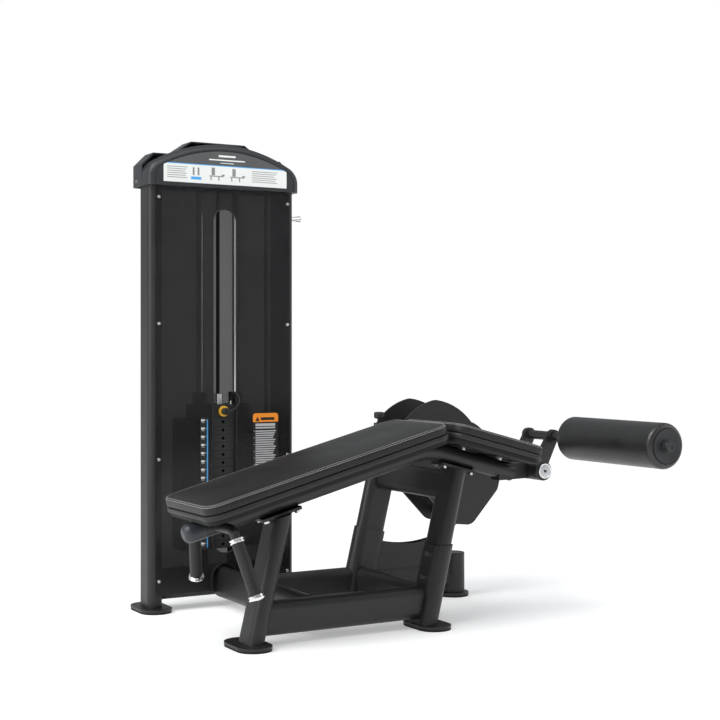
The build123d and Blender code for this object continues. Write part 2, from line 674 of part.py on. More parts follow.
with BuildPart() as leg_saddles:
    with BuildSketch(main_plane(SADDLE_DROP)):
        with Locations((SADDLE_HEAD_U, 0)):
            RectangleRounded(SADDLE_LONG, SADDLE_WIDE, SADDLE_CORNER_R)
    extrude(amount=SADDLE_THICK)
    with BuildSketch(thigh_plane(SADDLE_DROP)):
        with Locations((SADDLE_KNEE_U, 0)):
            RectangleRounded(SADDLE_LONG, SADDLE_WIDE, SADDLE_CORNER_R)
    extrude(amount=SADDLE_THICK)


with BuildPart() as pad_brackets:
    for plane, places in ((main_plane(PAD_THICK + BRACKET_THICK), MAIN_BRACKET_U),
                          (thigh_plane(PAD_THICK + BRACKET_THICK), THIGH_BRACKET_U)):
        with BuildSketch(plane):
            with Locations(*[(u, 0) for u in places]):
                RectangleRounded(PAD_BRACKET_LONG, PAD_BRACKET_WIDE, PAD_BRACKET_CORNER_R)
            with Locations(*[(u, side * PAD_BOLT_Y) for u in places for side in (-1, 1)]):
                Circle(BOLT_D / 2, mode=Mode.SUBTRACT)
        extrude(amount=BRACKET_THICK)
    add(leg_saddles.part)
save(pad_brackets, "bench_brackets")

with BuildPart() as saddle_bolts:
    saddles = ((main_plane(SADDLE_DROP), SADDLE_HEAD_U), (thigh_plane(SADDLE_DROP), SADDLE_KNEE_U))
    for plane, middle in saddles:
        with BuildSketch(plane.shift_origin(plane.from_local_coords((middle, 0, 0)))):
            with GridLocations(2 * SADDLE_BOLT_U, 2 * SADDLE_BOLT_Y, 2, 2):
                RegularPolygon(HEAD_D / 2, 6)
        extrude(amount=-HEAD_TALL)

with BuildPart() as pad_bolts:
    for plane, places in ((main_plane(PAD_THICK + BRACKET_THICK), MAIN_BRACKET_U),
                          (thigh_plane(PAD_THICK + BRACKET_THICK), THIGH_BRACKET_U)):
        spots = [(u, side * PAD_BOLT_Y) for u in places for side in (-1, 1)]
        with BuildSketch(plane):
            with Locations(*spots):
                RegularPolygon(HEAD_D / 2, 6)
        extrude(amount=-HEAD_TALL)
        with BuildSketch(plane):
            with Locations(*spots):
                Circle(BOLT_D / 2)
        extrude(amount=BRACKET_THICK + BOARD_THICK)


def pad_sketch(start, length, inset=0.0):
    """A pad's plan outline in the current sketch, from start along the slope."""
    with Locations((start + length / 2, 0)):
        RectangleRounded(length - 2 * inset, PAD_WIDE - 2 * inset, PAD_CORNER_R - inset)


for pad_name, plane_at, pad_long in (("main_pad", main_plane, MAIN_PAD_LONG),
                                     ("thigh_pad", thigh_plane, THIGH_PAD_LONG)):
    with BuildPart() as pad_foam:
        with BuildSketch(plane_at(FOAM_THICK)):
            pad_sketch(PAD_GAP, pad_long)
        extrude(amount=FOAM_THICK)
        fillet(pad_foam.faces().sort_by(Axis.Z)[-1].edges(), radius=FOAM_EDGE_R)
    save(pad_foam, pad_name)

with BuildPart() as pad_boards:
    for plane_at, pad_long, places in ((main_plane, MAIN_PAD_LONG, MAIN_BRACKET_U),
                                       (thigh_plane, THIGH_PAD_LONG, THIGH_BRACKET_U)):
        with BuildSketch(plane_at(PAD_THICK)):
            pad_sketch(PAD_GAP, pad_long, BOARD_INSET)
            with Locations(*[(u, side * PAD_BOLT_Y) for u in places for side in (-1, 1)]):
                Circle(BOLT_D / 2, mode=Mode.SUBTRACT)
        extrude(amount=BOARD_THICK)
save(pad_boards, "pad_boards")

# =====================================================================  handles
def handle_points(side):
    """Centre line of one handle, from the beam's side to its end."""
    z = beam_z(HANDLE_X)
    return [(HANDLE_X, 0, z), (HANDLE_X, side * HANDLE_CORNER_Y, z),
            (HANDLE_END[0], side * HANDLE_END[1], HANDLE_END[2])]


def handle_plane(side, back):
    """Plane across a grip, at a distance back from the handle's end."""
    end = Vector(*handle_points(side)[2])
    towards = (Vector(*handle_points(side)[1]) - end).normalized()
    return Plane(origin=end + towards * back, z_dir=towards)


with BuildPart() as handle_bars:
    for side in (-1, 1):
        with BuildLine() as bar_line:
            FilletPolyline(*handle_points(side), radius=HANDLE_BEND_R)
        with BuildSketch(Plane(origin=handle_points(side)[0], z_dir=(0, side, 0))):
            Circle(HANDLE_BAR_D / 2)
        sweep(path=bar_line.wires()[0])
    add(beam_core.part, mode=Mode.SUBTRACT)
save(handle_bars, "handle_bars")

with BuildPart() as handle_grips:
    for side in (-1, 1):
        with BuildSketch(handle_plane(side, 0)):
            ring(GRIP_D, HANDLE_BAR_D + 2 * GRIP_FIT)
        extrude(amount=GRIP_LONG)
save(handle_grips, "handle_grips")

with BuildPart() as handle_trim:
    for side in (-1, 1):
        with BuildSketch(handle_plane(side, GRIP_LONG)):
            ring(COLLAR_D, HANDLE_BAR_D + 2 * GRIP_FIT)
        extrude(amount=COLLAR_LONG)
        with BuildSketch(handle_plane(side, 0)):
            Circle(END_CAP_D / 2)
        extrude(amount=-END_CAP_LONG)
        with BuildSketch(handle_plane(side, -END_CAP_LONG)):
            Circle(END_CAP_D / 2)
        extrude(amount=-END_CAP_TIP, taper=END_CAP_TAPER)
save(handle_trim, "handle_trim")

# =====================================================================  knee lever
with BuildPart() as knee_shaft:
    with BuildSketch(side_plane(SHAFT_START - CAP_RUN_GAP)):
        with Locations((PIVOT_X, PIVOT_Z)):
            Circle(SHAFT_D / 2)
    extrude(amount=-(SHAFT_END - SHAFT_START + CAP_RUN_GAP))
    with BuildSketch(side_plane(SHAFT_START - CAP_RUN_GAP)):
        with Locations((PIVOT_X, PIVOT_Z)):
            Circle(SHAFT_CAP_D / 2)
    extrude(amount=SHAFT_CAP_LONG)
    chamfer(knee_shaft.faces().sort_by(Axis.Y)[0].edges(), length=SHAFT_CAP_EDGE)
    with BuildSketch(side_plane(SHAFT_START - CAP_RUN_GAP - SHAFT_CAP_LONG)):
        with Locations((PIVOT_X, PIVOT_Z)):
            Circle(SHAFT_BORE_D / 2)
    extrude(amount=-SHAFT_BORE_DEEP, mode=Mode.SUBTRACT)
save(knee_shaft, "knee_shaft")


def at_pivot(x, z):
    """A place given from the pivot, in a side plane's own axes."""
    return (PIVOT_X + x, PIVOT_Z + z)


for arm_name, arm_y in (("lever_arm_near", ARM_NEAR_Y), ("lever_arm_far", ARM_FAR_Y)):
    with BuildPart() as lever_arm:
        with BuildSketch(side_plane(arm_y - ARM_THICK / 2)):
            with Locations(at_pivot(0, 0)):
                Circle(ARM_HUB_R)
            with Locations(at_pivot(*ARM_ELBOW[:2])):
                Circle(ARM_ELBOW[2])
            make_hull()
        extrude(amount=-ARM_THICK)
        with BuildSketch(side_plane(arm_y - ARM_THICK / 2)):
            with Locations(at_pivot(*ARM_ELBOW[:2])):
                Circle(ARM_ELBOW[2])
            with Locations(at_pivot(*ROLLER_AT)):
                Circle(ARM_HEAD_R)
            make_hull()
        extrude(amount=-ARM_THICK)
        with BuildSketch(side_plane(arm_y - ARM_THICK)):
            with Locations(at_pivot(0, 0)):
                Circle(SHAFT_D / 2)
            with Locations(at_pivot(*ROLLER_AT)):
                Circle(AXLE_D / 2)
        extrude(amount=-2 * ARM_THICK, mode=Mode.SUBTRACT)
    save(lever_arm, arm_name)

with BuildPart() as belt_cam:
    with BuildSketch(side_plane(FAR_FRAME_Y - CAM_WIDE / 2)):
        with Locations(at_pivot(0, 0)):
            ring(2 * CAM_R, SHAFT_D)
    extrude(amount=-CAM_WIDE)
    with BuildSketch(side_plane(FAR_FRAME_Y - BELT_WIDE / 2 - 1)):
        with Locations(at_pivot(0, 0)):
            ring(2 * CAM_R + 2, 2 * (CAM_R - BELT_THICK))
    extrude(amount=-(BELT_WIDE + 2), mode=Mode.SUBTRACT)
    with BuildSketch(side_plane(ARM_NEAR_Y + ARM_THICK / 2)):
        with Locations(at_pivot(0, 0)):
            ring(CAM_HUB_D, SHAFT_D)
    extrude(amount=-(ARM_SPACING - ARM_THICK))
save(belt_cam, "belt_cam")

with BuildPart() as roller_axle:
    with BuildSketch(side_plane(AXLE_START)):
        with Locations(at_pivot(*ROLLER_AT)):
            Circle(AXLE_D / 2)
    extrude(amount=-(AXLE_END - AXLE_START))
    for y in (ROLLER_LONG / 2 + 1, ARM_NEAR_Y - ARM_THICK / 2 - AXLE_COLLAR_LONG, ARM_FAR_Y + ARM_THICK / 2):
        with BuildSketch(side_plane(y)):
            with Locations(at_pivot(*ROLLER_AT)):
                ring(AXLE_COLLAR_D, AXLE_D)
        extrude(amount=-AXLE_COLLAR_LONG)
save(roller_axle, "roller_axle")

CORE_D = AXLE_D + 2 * RUN_FIT + 2 * ROLLER_CORE_WALL

with BuildPart() as roller_core:
    with BuildSketch(side_plane(-ROLLER_LONG / 2)):
        with Locations(at_pivot(*ROLLER_AT)):
            ring(CORE_D, AXLE_D + 2 * RUN_FIT)
    extrude(amount=-ROLLER_LONG)
    for y in (-ROLLER_LONG / 2, ROLLER_LONG / 2 - ROLLER_DISC_THICK):
        with BuildSketch(side_plane(y)):
            with Locations(at_pivot(*ROLLER_AT)):
                ring(ROLLER_DISC_D, CORE_D)
        extrude(amount=-ROLLER_DISC_THICK)
save(roller_core, "roller_core")

with BuildPart() as roller_foam:
    with BuildSketch(side_plane(-ROLLER_LONG / 2)):
        with Locations(at_pivot(*ROLLER_AT)):
            Circle(ROLLER_D / 2)
    extrude(amount=-ROLLER_LONG)
    fillet(roller_foam.edges().filter_by(GeomType.CIRCLE), radius=ROLLER_EDGE_R)
    with BuildSketch(side_plane(-ROLLER_LONG)):
        with Locations(at_pivot(*ROLLER_AT)):
            Circle(CORE_D / 2)
    extrude(amount=-2 * ROLLER_LONG, mode=Mode.SUBTRACT)
    for y in (-ROLLER_LONG / 2, ROLLER_LONG / 2 - ROLLER_DISC_THICK):
        with BuildSketch(side_plane(y)):
            with Locations(at_pivot(*ROLLER_AT)):
                Circle(ROLLER_DISC_D / 2)
        extrude(amount=-ROLLER_DISC_THICK, mode=Mode.SUBTRACT)
save(roller_foam, "roller_foam")

with BuildPart() as roller_end_knob:
    with BuildSketch(side_plane(-ROLLER_LONG / 2 - RUN_FIT)):
        with Locations(at_pivot(*ROLLER_AT)):
            Circle(ROLLER_KNOB_D / 2)
    extrude(amount=ROLLER_KNOB_LONG)
    fillet(roller_end_knob.faces().sort_by(Axis.Y)[0].edges(), radius=ROLLER_KNOB_ROUND)
    with BuildSketch(side_plane(AXLE_START)):
        with Locations(at_pivot(*ROLLER_AT)):
            Circle(AXLE_D / 2)
    extrude(amount=-ROLLER_KNOB_LONG, mode=Mode.SUBTRACT)
save(roller_end_knob, "roller_end_knob")

# =====================================================================  cam guard
GUARD_TIES = [(-262.0, 58.0), (-32.0, -178.0)]    # tie tube centres, from the pivot


def guard_outline():
    """The edges of one guard plate's outline."""
    with BuildLine() as outline:
        Polyline(
            at_pivot(0, 140), at_pivot(128, -38), at_pivot(114, -98), at_pivot(6, -214),
            at_pivot(-72, -206), at_pivot(-290, 16), at_pivot(-290, 100),
        )
        ThreePointArc(at_pivot(-290, 100), at_pivot(-226, 176), at_pivot(-140, 212))
        ThreePointArc(at_pivot(-140, 212), at_pivot(-62, 188), at_pivot(0, 140))
    return outline.edges()


with BuildPart() as cam_guard:
    for guard_y in (GUARD_NEAR_Y, GUARD_FAR_Y):
        with BuildSketch(side_plane(guard_y)):
            make_face(guard_outline())
        extrude(amount=-GUARD_THICK)
    fillet(cam_guard.edges().filter_by(Axis.Y), radius=GUARD_CORNER_R)
    with BuildSketch(side_plane(GUARD_NEAR_Y)):
        with Locations(at_pivot(0, 0)):
            Circle(BUSH_D / 2)
    extrude(amount=-(GUARD_FAR_Y - GUARD_NEAR_Y + GUARD_THICK), mode=Mode.SUBTRACT)
    for tie in GUARD_TIES:
        with BuildSketch(side_plane(GUARD_NEAR_Y + GUARD_THICK)):
            with Locations(at_pivot(*tie)):
                ring(GUARD_TIE_D, GUARD_TIE_D - 2 * TUBE_WALL)
        extrude(amount=-(GUARD_FAR_Y - GUARD_NEAR_Y - GUARD_THICK))
    add(far_leg_core.part, mode=Mode.SUBTRACT)
save(cam_guard, "cam_guard")

# =====================================================================  belt and its pulleys
def make_pulley(plane, x, z):
    """A grooved pulley on the given side plane."""
    with BuildPart() as pulley:
        with BuildSketch(plane):
            with Locations((x, z)):
                ring(PULLEY_D + 2 * PULLEY_RIM, PULLEY_AXLE_D + 2 * RUN_FIT)
        extrude(amount=-PULLEY_WIDE)
        with BuildSketch(plane.offset(-PULLEY_RIM_THICK)):
            with Locations((x, z)):
                ring(PULLEY_D + 3 * PULLEY_RIM, PULLEY_D)
        extrude(amount=-(PULLEY_WIDE - 2 * PULLEY_RIM_THICK), mode=Mode.SUBTRACT)
    return pulley


PULLEY_R = PULLEY_D / 2
PULLEY_A_X = BELT_UP_X + PULLEY_R + BELT_THICK / 2
PULLEY_B_X = BELT_DOWN_X - PULLEY_R - BELT_THICK / 2
PULLEY_PLANE = side_plane(STACK_Y - PULLEY_WIDE / 2)

for pulley_name, pulley_x, pulley_z in (
    ("top_pulley_centre", PULLEY_A_X, PULLEY_TOP_Z),
    ("top_pulley_side", PULLEY_B_X, PULLEY_TOP_Z),
):
    save(make_pulley(PULLEY_PLANE, pulley_x, pulley_z), pulley_name)

RAIL_PULLEY_PLANE = side_plane(FAR_FRAME_Y - PULLEY_WIDE / 2)

save(make_pulley(RAIL_PULLEY_PLANE, RAIL_PULLEY_X, RAIL_PULLEY_Z), "rail_pulley")

with BuildPart() as pulley_axles:
    for plane, x, z in ((PULLEY_PLANE, PULLEY_A_X, PULLEY_TOP_Z), (PULLEY_PLANE, PULLEY_B_X, PULLEY_TOP_Z),
                        (RAIL_PULLEY_PLANE, RAIL_PULLEY_X, RAIL_PULLEY_Z)):
        with BuildSketch(plane.offset(PULLEY_CHEEK_GAP + PULLEY_CHEEK)):
            with Locations((x, z)):
                Circle(PULLEY_AXLE_D / 2)
        extrude(amount=-(PULLEY_WIDE + 2 * PULLEY_CHEEK_GAP + 2 * PULLEY_CHEEK))
save(pulley_axles, "pulley_axles")

with BuildPart() as top_pulley_bracket:
    for y in (STACK_Y - PULLEY_WIDE / 2 - PULLEY_CHEEK_GAP - PULLEY_CHEEK,
              STACK_Y + PULLEY_WIDE / 2 + PULLEY_CHEEK_GAP):
        with BuildSketch(side_plane(y)):
            with Locations(((PULLEY_A_X + PULLEY_B_X) / 2, (TOP_BEAM_TOP + PULLEY_TOP_Z + 14) / 2)):
                RectangleRounded(PULLEY_B_X - PULLEY_A_X + 40, PULLEY_TOP_Z + 14 - TOP_BEAM_TOP, 10)
            with Locations((PULLEY_A_X, PULLEY_TOP_Z), (PULLEY_B_X, PULLEY_TOP_Z)):
                Circle(PULLEY_AXLE_D / 2, mode=Mode.SUBTRACT)
        extrude(amount=-PULLEY_CHEEK)

with BuildPart() as rail_gusset:
    for y in (FAR_FRAME_Y - PULLEY_WIDE / 2 - PULLEY_CHEEK_GAP - PULLEY_CHEEK,
              FAR_FRAME_Y + PULLEY_WIDE / 2 + PULLEY_CHEEK_GAP):
        with BuildSketch(side_plane(y)):
            with BuildLine():
                Polyline((GUSSET_X[0], GUSSET_LEFT_Z), (GUSSET_X[0], GUSSET_FOOT_Z),
                         (GUSSET_X[1], GUSSET_FOOT_Z), (GUSSET_X[1], GUSSET_RIGHT_Z))
                ThreePointArc((GUSSET_X[1], GUSSET_RIGHT_Z),
                              (GUSSET_X[0] + GUSSET_DIP_AT, GUSSET_RIGHT_Z - GUSSET_DIP),
                              (GUSSET_X[0], GUSSET_LEFT_Z))
            make_face()
            with Locations((RAIL_PULLEY_X, RAIL_PULLEY_Z)):
                Circle(PULLEY_AXLE_D / 2, mode=Mode.SUBTRACT)
        extrude(amount=-PULLEY_CHEEK)
    add(far_sleeve_core.part, mode=Mode.SUBTRACT)
    with BuildSketch(Plane.YZ.offset(KNEE_LEG_X)):
        with Locations((FAR_FRAME_Y, RAIL_Z)):
            oval(TUBE_TALL, TUBE_WIDE, turn=90)
    extrude(amount=POST_X - KNEE_LEG_X, mode=Mode.SUBTRACT)
    add(top_pulley_bracket.part)
save(rail_gusset, "pulley_brackets")

CARRIAGE_TIE_Z = HEAD_PLATE_TOP + BELT_FITTING_TALL

with BuildPart() as belt_lift_run:
    with BuildSketch(FLOOR.offset(CARRIAGE_TIE_Z)):
        with Locations((BELT_UP_X, STACK_Y)):
            Rectangle(BELT_THICK, BELT_WIDE)
    extrude(amount=PULLEY_TOP_Z - BELT_LIFT_END - CARRIAGE_TIE_Z)
save(belt_lift_run, "belt_lift_run")

with BuildPart() as belt_tower_run:
    belt_in = PULLEY_R + BELT_GAP
    belt_out = belt_in + BELT_THICK - BELT_GAP
    with BuildSketch(side_plane(STACK_Y - BELT_WIDE / 2)):
        with Locations((PULLEY_A_X, PULLEY_TOP_Z), (PULLEY_B_X, PULLEY_TOP_Z)):
            Circle(belt_out)
        with Locations(((PULLEY_A_X + PULLEY_B_X) / 2, PULLEY_TOP_Z)):
            Rectangle(PULLEY_B_X - PULLEY_A_X, 2 * belt_out)
        with Locations((PULLEY_A_X, PULLEY_TOP_Z), (PULLEY_B_X, PULLEY_TOP_Z)):
            Circle(belt_in, mode=Mode.SUBTRACT)
        with Locations(((PULLEY_A_X + PULLEY_B_X) / 2, PULLEY_TOP_Z)):
            Rectangle(PULLEY_B_X - PULLEY_A_X, 2 * belt_in, mode=Mode.SUBTRACT)
        with Locations(((PULLEY_A_X + PULLEY_B_X) / 2, PULLEY_TOP_Z - belt_out)):
            Rectangle(PULLEY_B_X - PULLEY_A_X + 3 * PULLEY_D, 2 * belt_out, mode=Mode.SUBTRACT)
        for x in (PULLEY_A_X - (belt_in + belt_out) / 2, PULLEY_B_X + (belt_in + belt_out) / 2):
            drop = BELT_LIFT_END if x < PULLEY_A_X else PULLEY_TOP_Z - BASE_TUBE_TOP
            with Locations((x, PULLEY_TOP_Z - drop / 2)):
                Rectangle(belt_out - belt_in, drop)
    extrude(amount=-BELT_WIDE)

# The cam run leaves the cam's far side, so that lifting the lever pulls the belt.
RUN_DX = PIVOT_X - RAIL_PULLEY_X
RUN_DZ = PIVOT_Z - RAIL_PULLEY_Z
RUN_BETWEEN = hypot(RUN_DX, RUN_DZ)
CAM_SEAT_R = CAM_R - BELT_THICK + BELT_GAP + BELT_THICK / 2
RAIL_SEAT_R = PULLEY_R + BELT_GAP + BELT_THICK / 2
RUN_TURN = degrees(asin((CAM_SEAT_R - RAIL_SEAT_R) / RUN_BETWEEN))
RUN_ANGLE = degrees(atan2(RUN_DZ, RUN_DX)) - RUN_TURN
RUN_LONG = sqrt(RUN_BETWEEN ** 2 - (CAM_SEAT_R - RAIL_SEAT_R) ** 2)

with BuildPart() as belt_cam_run:
    normal = radians(RUN_ANGLE - 90)
    foot_x = RAIL_PULLEY_X + RAIL_SEAT_R * cos(normal)
    foot_z = RAIL_PULLEY_Z + RAIL_SEAT_R * sin(normal)
    mid_x = foot_x + RUN_LONG / 2 * cos(radians(RUN_ANGLE))
    mid_z = foot_z + RUN_LONG / 2 * sin(radians(RUN_ANGLE))
    with BuildSketch(side_plane(FAR_FRAME_Y - BELT_WIDE / 2)):
        with Locations(Location((mid_x, mid_z), RUN_ANGLE)):
            Rectangle(RUN_LONG, BELT_THICK - 2 * BELT_GAP)
    extrude(amount=-BELT_WIDE)
    add(belt_tower_run.part)
save(belt_cam_run, "belt_fixed_runs")

# =====================================================================  weight stack
with BuildPart() as stack_cushions:
    with BuildSketch(FLOOR.offset(BASE_TUBE_TOP)):
        with Locations((TOWER_X, STACK_Y)):
            with GridLocations(ROD_SPACING, 1, 2, 1):
                ring(CUSHION_D, ROD_D)
    extrude(amount=STACK_BOTTOM - BASE_TUBE_TOP)
save(stack_cushions, "stack_cushions")

with BuildPart() as guide_rods:
    with BuildSketch(FLOOR.offset(BASE_TUBE_TOP)):
        with Locations((TOWER_X, STACK_Y)):
            with GridLocations(ROD_SPACING, 1, 2, 1):
                Circle(ROD_D / 2)
    extrude(amount=ROD_TOP - BASE_TUBE_TOP)
save(guide_rods, "guide_rods")

with BuildPart() as weight_plates:
    with BuildSketch(FLOOR.offset(STACK_BOTTOM)):
        with Locations((TOWER_X, STACK_Y)):
            RectangleRounded(PLATE_WIDE, PLATE_DEEP, PLATE_CORNER_R)
            with GridLocations(ROD_SPACING, 1, 2, 1):
                Circle(ROD_D / 2 + ROD_SLIDE_FIT, mode=Mode.SUBTRACT)
        with Locations((TOWER_X, STACK_Y)):
            Circle(SELECTOR_D / 2 + SELECTOR_SLIDE_FIT, mode=Mode.SUBTRACT)
    extrude(amount=PLATE_PITCH - PLATE_GAP)
    with BuildSketch(side_plane(STACK_Y - PLATE_DEEP / 2)):
        with Locations((TOWER_X, STACK_BOTTOM + PLATE_PITCH / 2)):
            Circle(PIN_D / 2 + PIN_FIT)
    extrude(amount=-PLATE_DEEP / 2, mode=Mode.SUBTRACT)
    one_plate = weight_plates.part
    for level in range(1, PLATE_COUNT):
        add(one_plate.moved(Location((0, 0, level * PLATE_PITCH))))
save(weight_plates, "weight_plates")

with BuildPart() as head_plate:
    with BuildSketch(FLOOR.offset(STACK_TOP)):
        with Locations((TOWER_X, STACK_Y)):
            RectangleRounded(HEAD_PLATE_WIDE, PLATE_DEEP, PLATE_CORNER_R)
            with GridLocations(ROD_SPACING, 1, 2, 1):
                Circle(ROD_D / 2 + ROD_SLIDE_FIT, mode=Mode.SUBTRACT)
        with Locations((TOWER_X, STACK_Y)):
            Circle(SELECTOR_D / 2, mode=Mode.SUBTRACT)
    extrude(amount=HEAD_PLATE_TALL)
    fillet(head_plate.faces().sort_by(Axis.Z)[-1].outer_wire().edges(), radius=HEAD_PLATE_ROUND)
    with BuildSketch(side_plane(STACK_Y - PLATE_DEEP / 2)):
        with Locations((TOWER_X, STACK_TOP + HEAD_PLATE_TALL / 2)):
            Circle(PIN_D / 2 + PIN_FIT)
    extrude(amount=-(PLATE_DEEP / 2 + SELECTOR_D), mode=Mode.SUBTRACT)
save(head_plate, "head_plate")

with BuildPart() as selector_rod:
    with BuildSketch(FLOOR.offset(STACK_TOP - SELECTOR_TAIL)):
        with Locations((TOWER_X, STACK_Y)):
            Circle(SELECTOR_D / 2)
    extrude(amount=SELECTOR_TAIL + HEAD_PLATE_TALL)
    levels = [STACK_TOP + HEAD_PLATE_TALL / 2]
    levels += [STACK_TOP - (step + 0.5) * PLATE_PITCH for step in range(int(SELECTOR_TAIL / PLATE_PITCH))]
    with BuildSketch(side_plane(STACK_Y - SELECTOR_D)):
        with Locations(*[(TOWER_X, level) for level in levels]):
            Circle(PIN_D / 2 + PIN_FIT)
    extrude(amount=-2 * SELECTOR_D, mode=Mode.SUBTRACT)
save(selector_rod, "selector_rod")

with BuildPart() as belt_fitting:
    with BuildSketch(FLOOR.offset(HEAD_PLATE_TOP)):
        with Locations((TOWER_X, STACK_Y)):
            RectangleRounded(*BELT_FITTING)
    extrude(amount=BELT_FITTING_TALL)
    with BuildSketch(FLOOR.offset(HEAD_PLATE_TOP)):
        with Locations((LANYARD_EYE[0], LANYARD_EYE[1])):
            Circle(LANYARD_EYE_D / 2)
    extrude(amount=LANYARD_EYE[2] - HEAD_PLATE_TOP)
save(belt_fitting, "belt_fitting")

with BuildPart() as rod_bumpers:
    with BuildSketch(FLOOR.offset(HEAD_PLATE_TOP)):
        with Locations((TOWER_X, STACK_Y)):
            with GridLocations(ROD_SPACING, 1, 2, 1):
                ring(BUMPER_D, ROD_D + 2 * ROD_SLIDE_FIT)
    extrude(amount=BUMPER_TALL)
    fillet(rod_bumpers.faces().group_by(Axis.Z)[-1].edges(), radius=BUMPER_ROUND)
save(rod_bumpers, "rod_bumpers")

PIN_Z = STACK_TOP + HEAD_PLATE_TALL / 2
PIN_FACE_Y = STACK_Y - PLATE_DEEP / 2

with BuildPart() as selector_pin:
    with BuildSketch(side_plane(PIN_FACE_Y - PIN_COLLAR_LONG - PIN_KNOB_LONG)):
        with Locations((TOWER_X, PIN_Z)):
            Circle(PIN_D / 2)
    extrude(amount=-(PIN_COLLAR_LONG + PIN_KNOB_LONG + PIN_REACH))
save(selector_pin, "selector_pin")

with BuildPart() as pin_collar:
    with BuildSketch(side_plane(PIN_FACE_Y - PIN_COLLAR_LONG)):
        with Locations((TOWER_X, PIN_Z)):
            ring(PIN_COLLAR_D, PIN_D)
    extrude(amount=-(PIN_COLLAR_LONG - PIN_FACE_GAP))

with BuildPart() as pin_knob:
    with BuildSketch(side_plane(PIN_FACE_Y - PIN_COLLAR_LONG)):
        with Locations((TOWER_X, PIN_Z)):
            Circle(PIN_KNOB_D / 2)
    extrude(amount=PIN_KNOB_LONG + PIN_KNOB_SET)
    fillet(pin_knob.faces().sort_by(Axis.Y)[0].edges(), radius=PIN_KNOB_ROUND)
    with BuildSketch(side_plane(PIN_FACE_Y - PIN_COLLAR_LONG - PIN_KNOB_LONG)):
        with Locations((TOWER_X, PIN_Z)):
            Circle(PIN_D / 2)
    extrude(amount=-PIN_KNOB_LONG, mode=Mode.SUBTRACT)
    add(pin_collar.part)
save(pin_knob, "pin_knob")

with BuildPart() as pin_lanyard:
    with BuildLine() as lanyard_line:
        runs = [(Vector(*b) - Vector(*a)) for a, b in zip(LANYARD_ROUTE, LANYARD_ROUTE[1:])]
        bends = []
        for before, after in zip(runs, runs[1:]):
            turn = radians(before.get_angle(after))
            bends.append(LANYARD_SHARE * min(before.length, after.length) / tan(turn / 2))
        FilletPolyline(*LANYARD_ROUTE, radius=bends)
    with BuildSketch(Plane(origin=LANYARD_ROUTE[0], z_dir=runs[0].normalized())):
        Circle(LANYARD_D / 2)
    sweep(path=lanyard_line.wires()[0])
save(pin_lanyard, "pin_lanyard")
lanyard_long = lanyard_line.wires()[0].length
print("lanyard length", round(lanyard_long, 1), "radii", [round(bend, 1) for bend in bends])
section = pi * (LANYARD_D / 2) ** 2
print("lanyard volume over section times length", round(pin_lanyard.part.volume / section / lanyard_long, 3))

# =====================================================================  tower panels, labels and header
PANEL_Y = TOWER_FRONT_Y - PANEL_THICK


def panel_corner_screws():
    """Places of the panel screws, in X and Z."""
    inset = PANEL_WIDE / 2 - PANEL_SCREW_INSET
    return [(TOWER_X + side * inset, z) for side in (-1, 1) for z in PANEL_SCREW_Z]


with BuildPart() as front_panel:
    with BuildSketch(side_plane(PANEL_Y)):
        with Locations((TOWER_X, (PANEL_BOTTOM + PANEL_TOP) / 2)):
            RectangleRounded(PANEL_WIDE, PANEL_TOP - PANEL_BOTTOM, PANEL_CORNER_R)
        with Locations((TOWER_X, (SLOT_BOTTOM + SLOT_TOP) / 2)):
            SlotOverall(SLOT_TOP - SLOT_BOTTOM, SLOT_WIDE, rotation=90, mode=Mode.SUBTRACT)
        with Locations((TOWER_X, NOTCH_TOP - NOTCH_WIDE / 2)):
            Circle(NOTCH_WIDE / 2, mode=Mode.SUBTRACT)
        with Locations((TOWER_X, (PANEL_BOTTOM - 10 + NOTCH_TOP - NOTCH_WIDE / 2) / 2)):
            Rectangle(NOTCH_WIDE, NOTCH_TOP - NOTCH_WIDE / 2 - PANEL_BOTTOM + 10, mode=Mode.SUBTRACT)
    extrude(amount=-PANEL_THICK)
save(front_panel, "front_panel")

with BuildPart() as panel_screws:
    with BuildSketch(side_plane(PANEL_Y)):
        with Locations(*panel_corner_screws()):
            Circle(SCREW_D / 2)
    extrude(amount=SCREW_TALL)
    fillet(panel_screws.faces().filter_by(Axis.Y).group_by(Axis.Y)[0].edges(), radius=SCREW_ROUND)

with BuildPart() as rear_panel:
    with BuildSketch(side_plane(TOWER_REAR_Y)):
        with Locations((TOWER_X, (PANEL_BOTTOM + PANEL_TOP) / 2)):
            RectangleRounded(PANEL_WIDE, PANEL_TOP - PANEL_BOTTOM, PANEL_CORNER_R)
    extrude(amount=-REAR_PANEL_THICK)
save(rear_panel, "rear_panel")

with BuildPart() as weight_label:
    with BuildSketch(side_plane(PANEL_Y)):
        with Locations((LABEL_X, (LABEL_BOTTOM + LABEL_TOP) / 2)):
            SlotOverall(LABEL_TOP - LABEL_BOTTOM, LABEL_WIDE, rotation=90)
    extrude(amount=LABEL_THICK)

with BuildPart() as caution_label:
    with BuildSketch(side_plane(PANEL_Y)):
        with Locations((CAUTION_X, (CAUTION_BOTTOM + CAUTION_TOP) / 2)):
            RectangleRounded(CAUTION_WIDE, CAUTION_TOP - CAUTION_BOTTOM, CAUTION_CORNER_R)
    extrude(amount=LABEL_THICK)


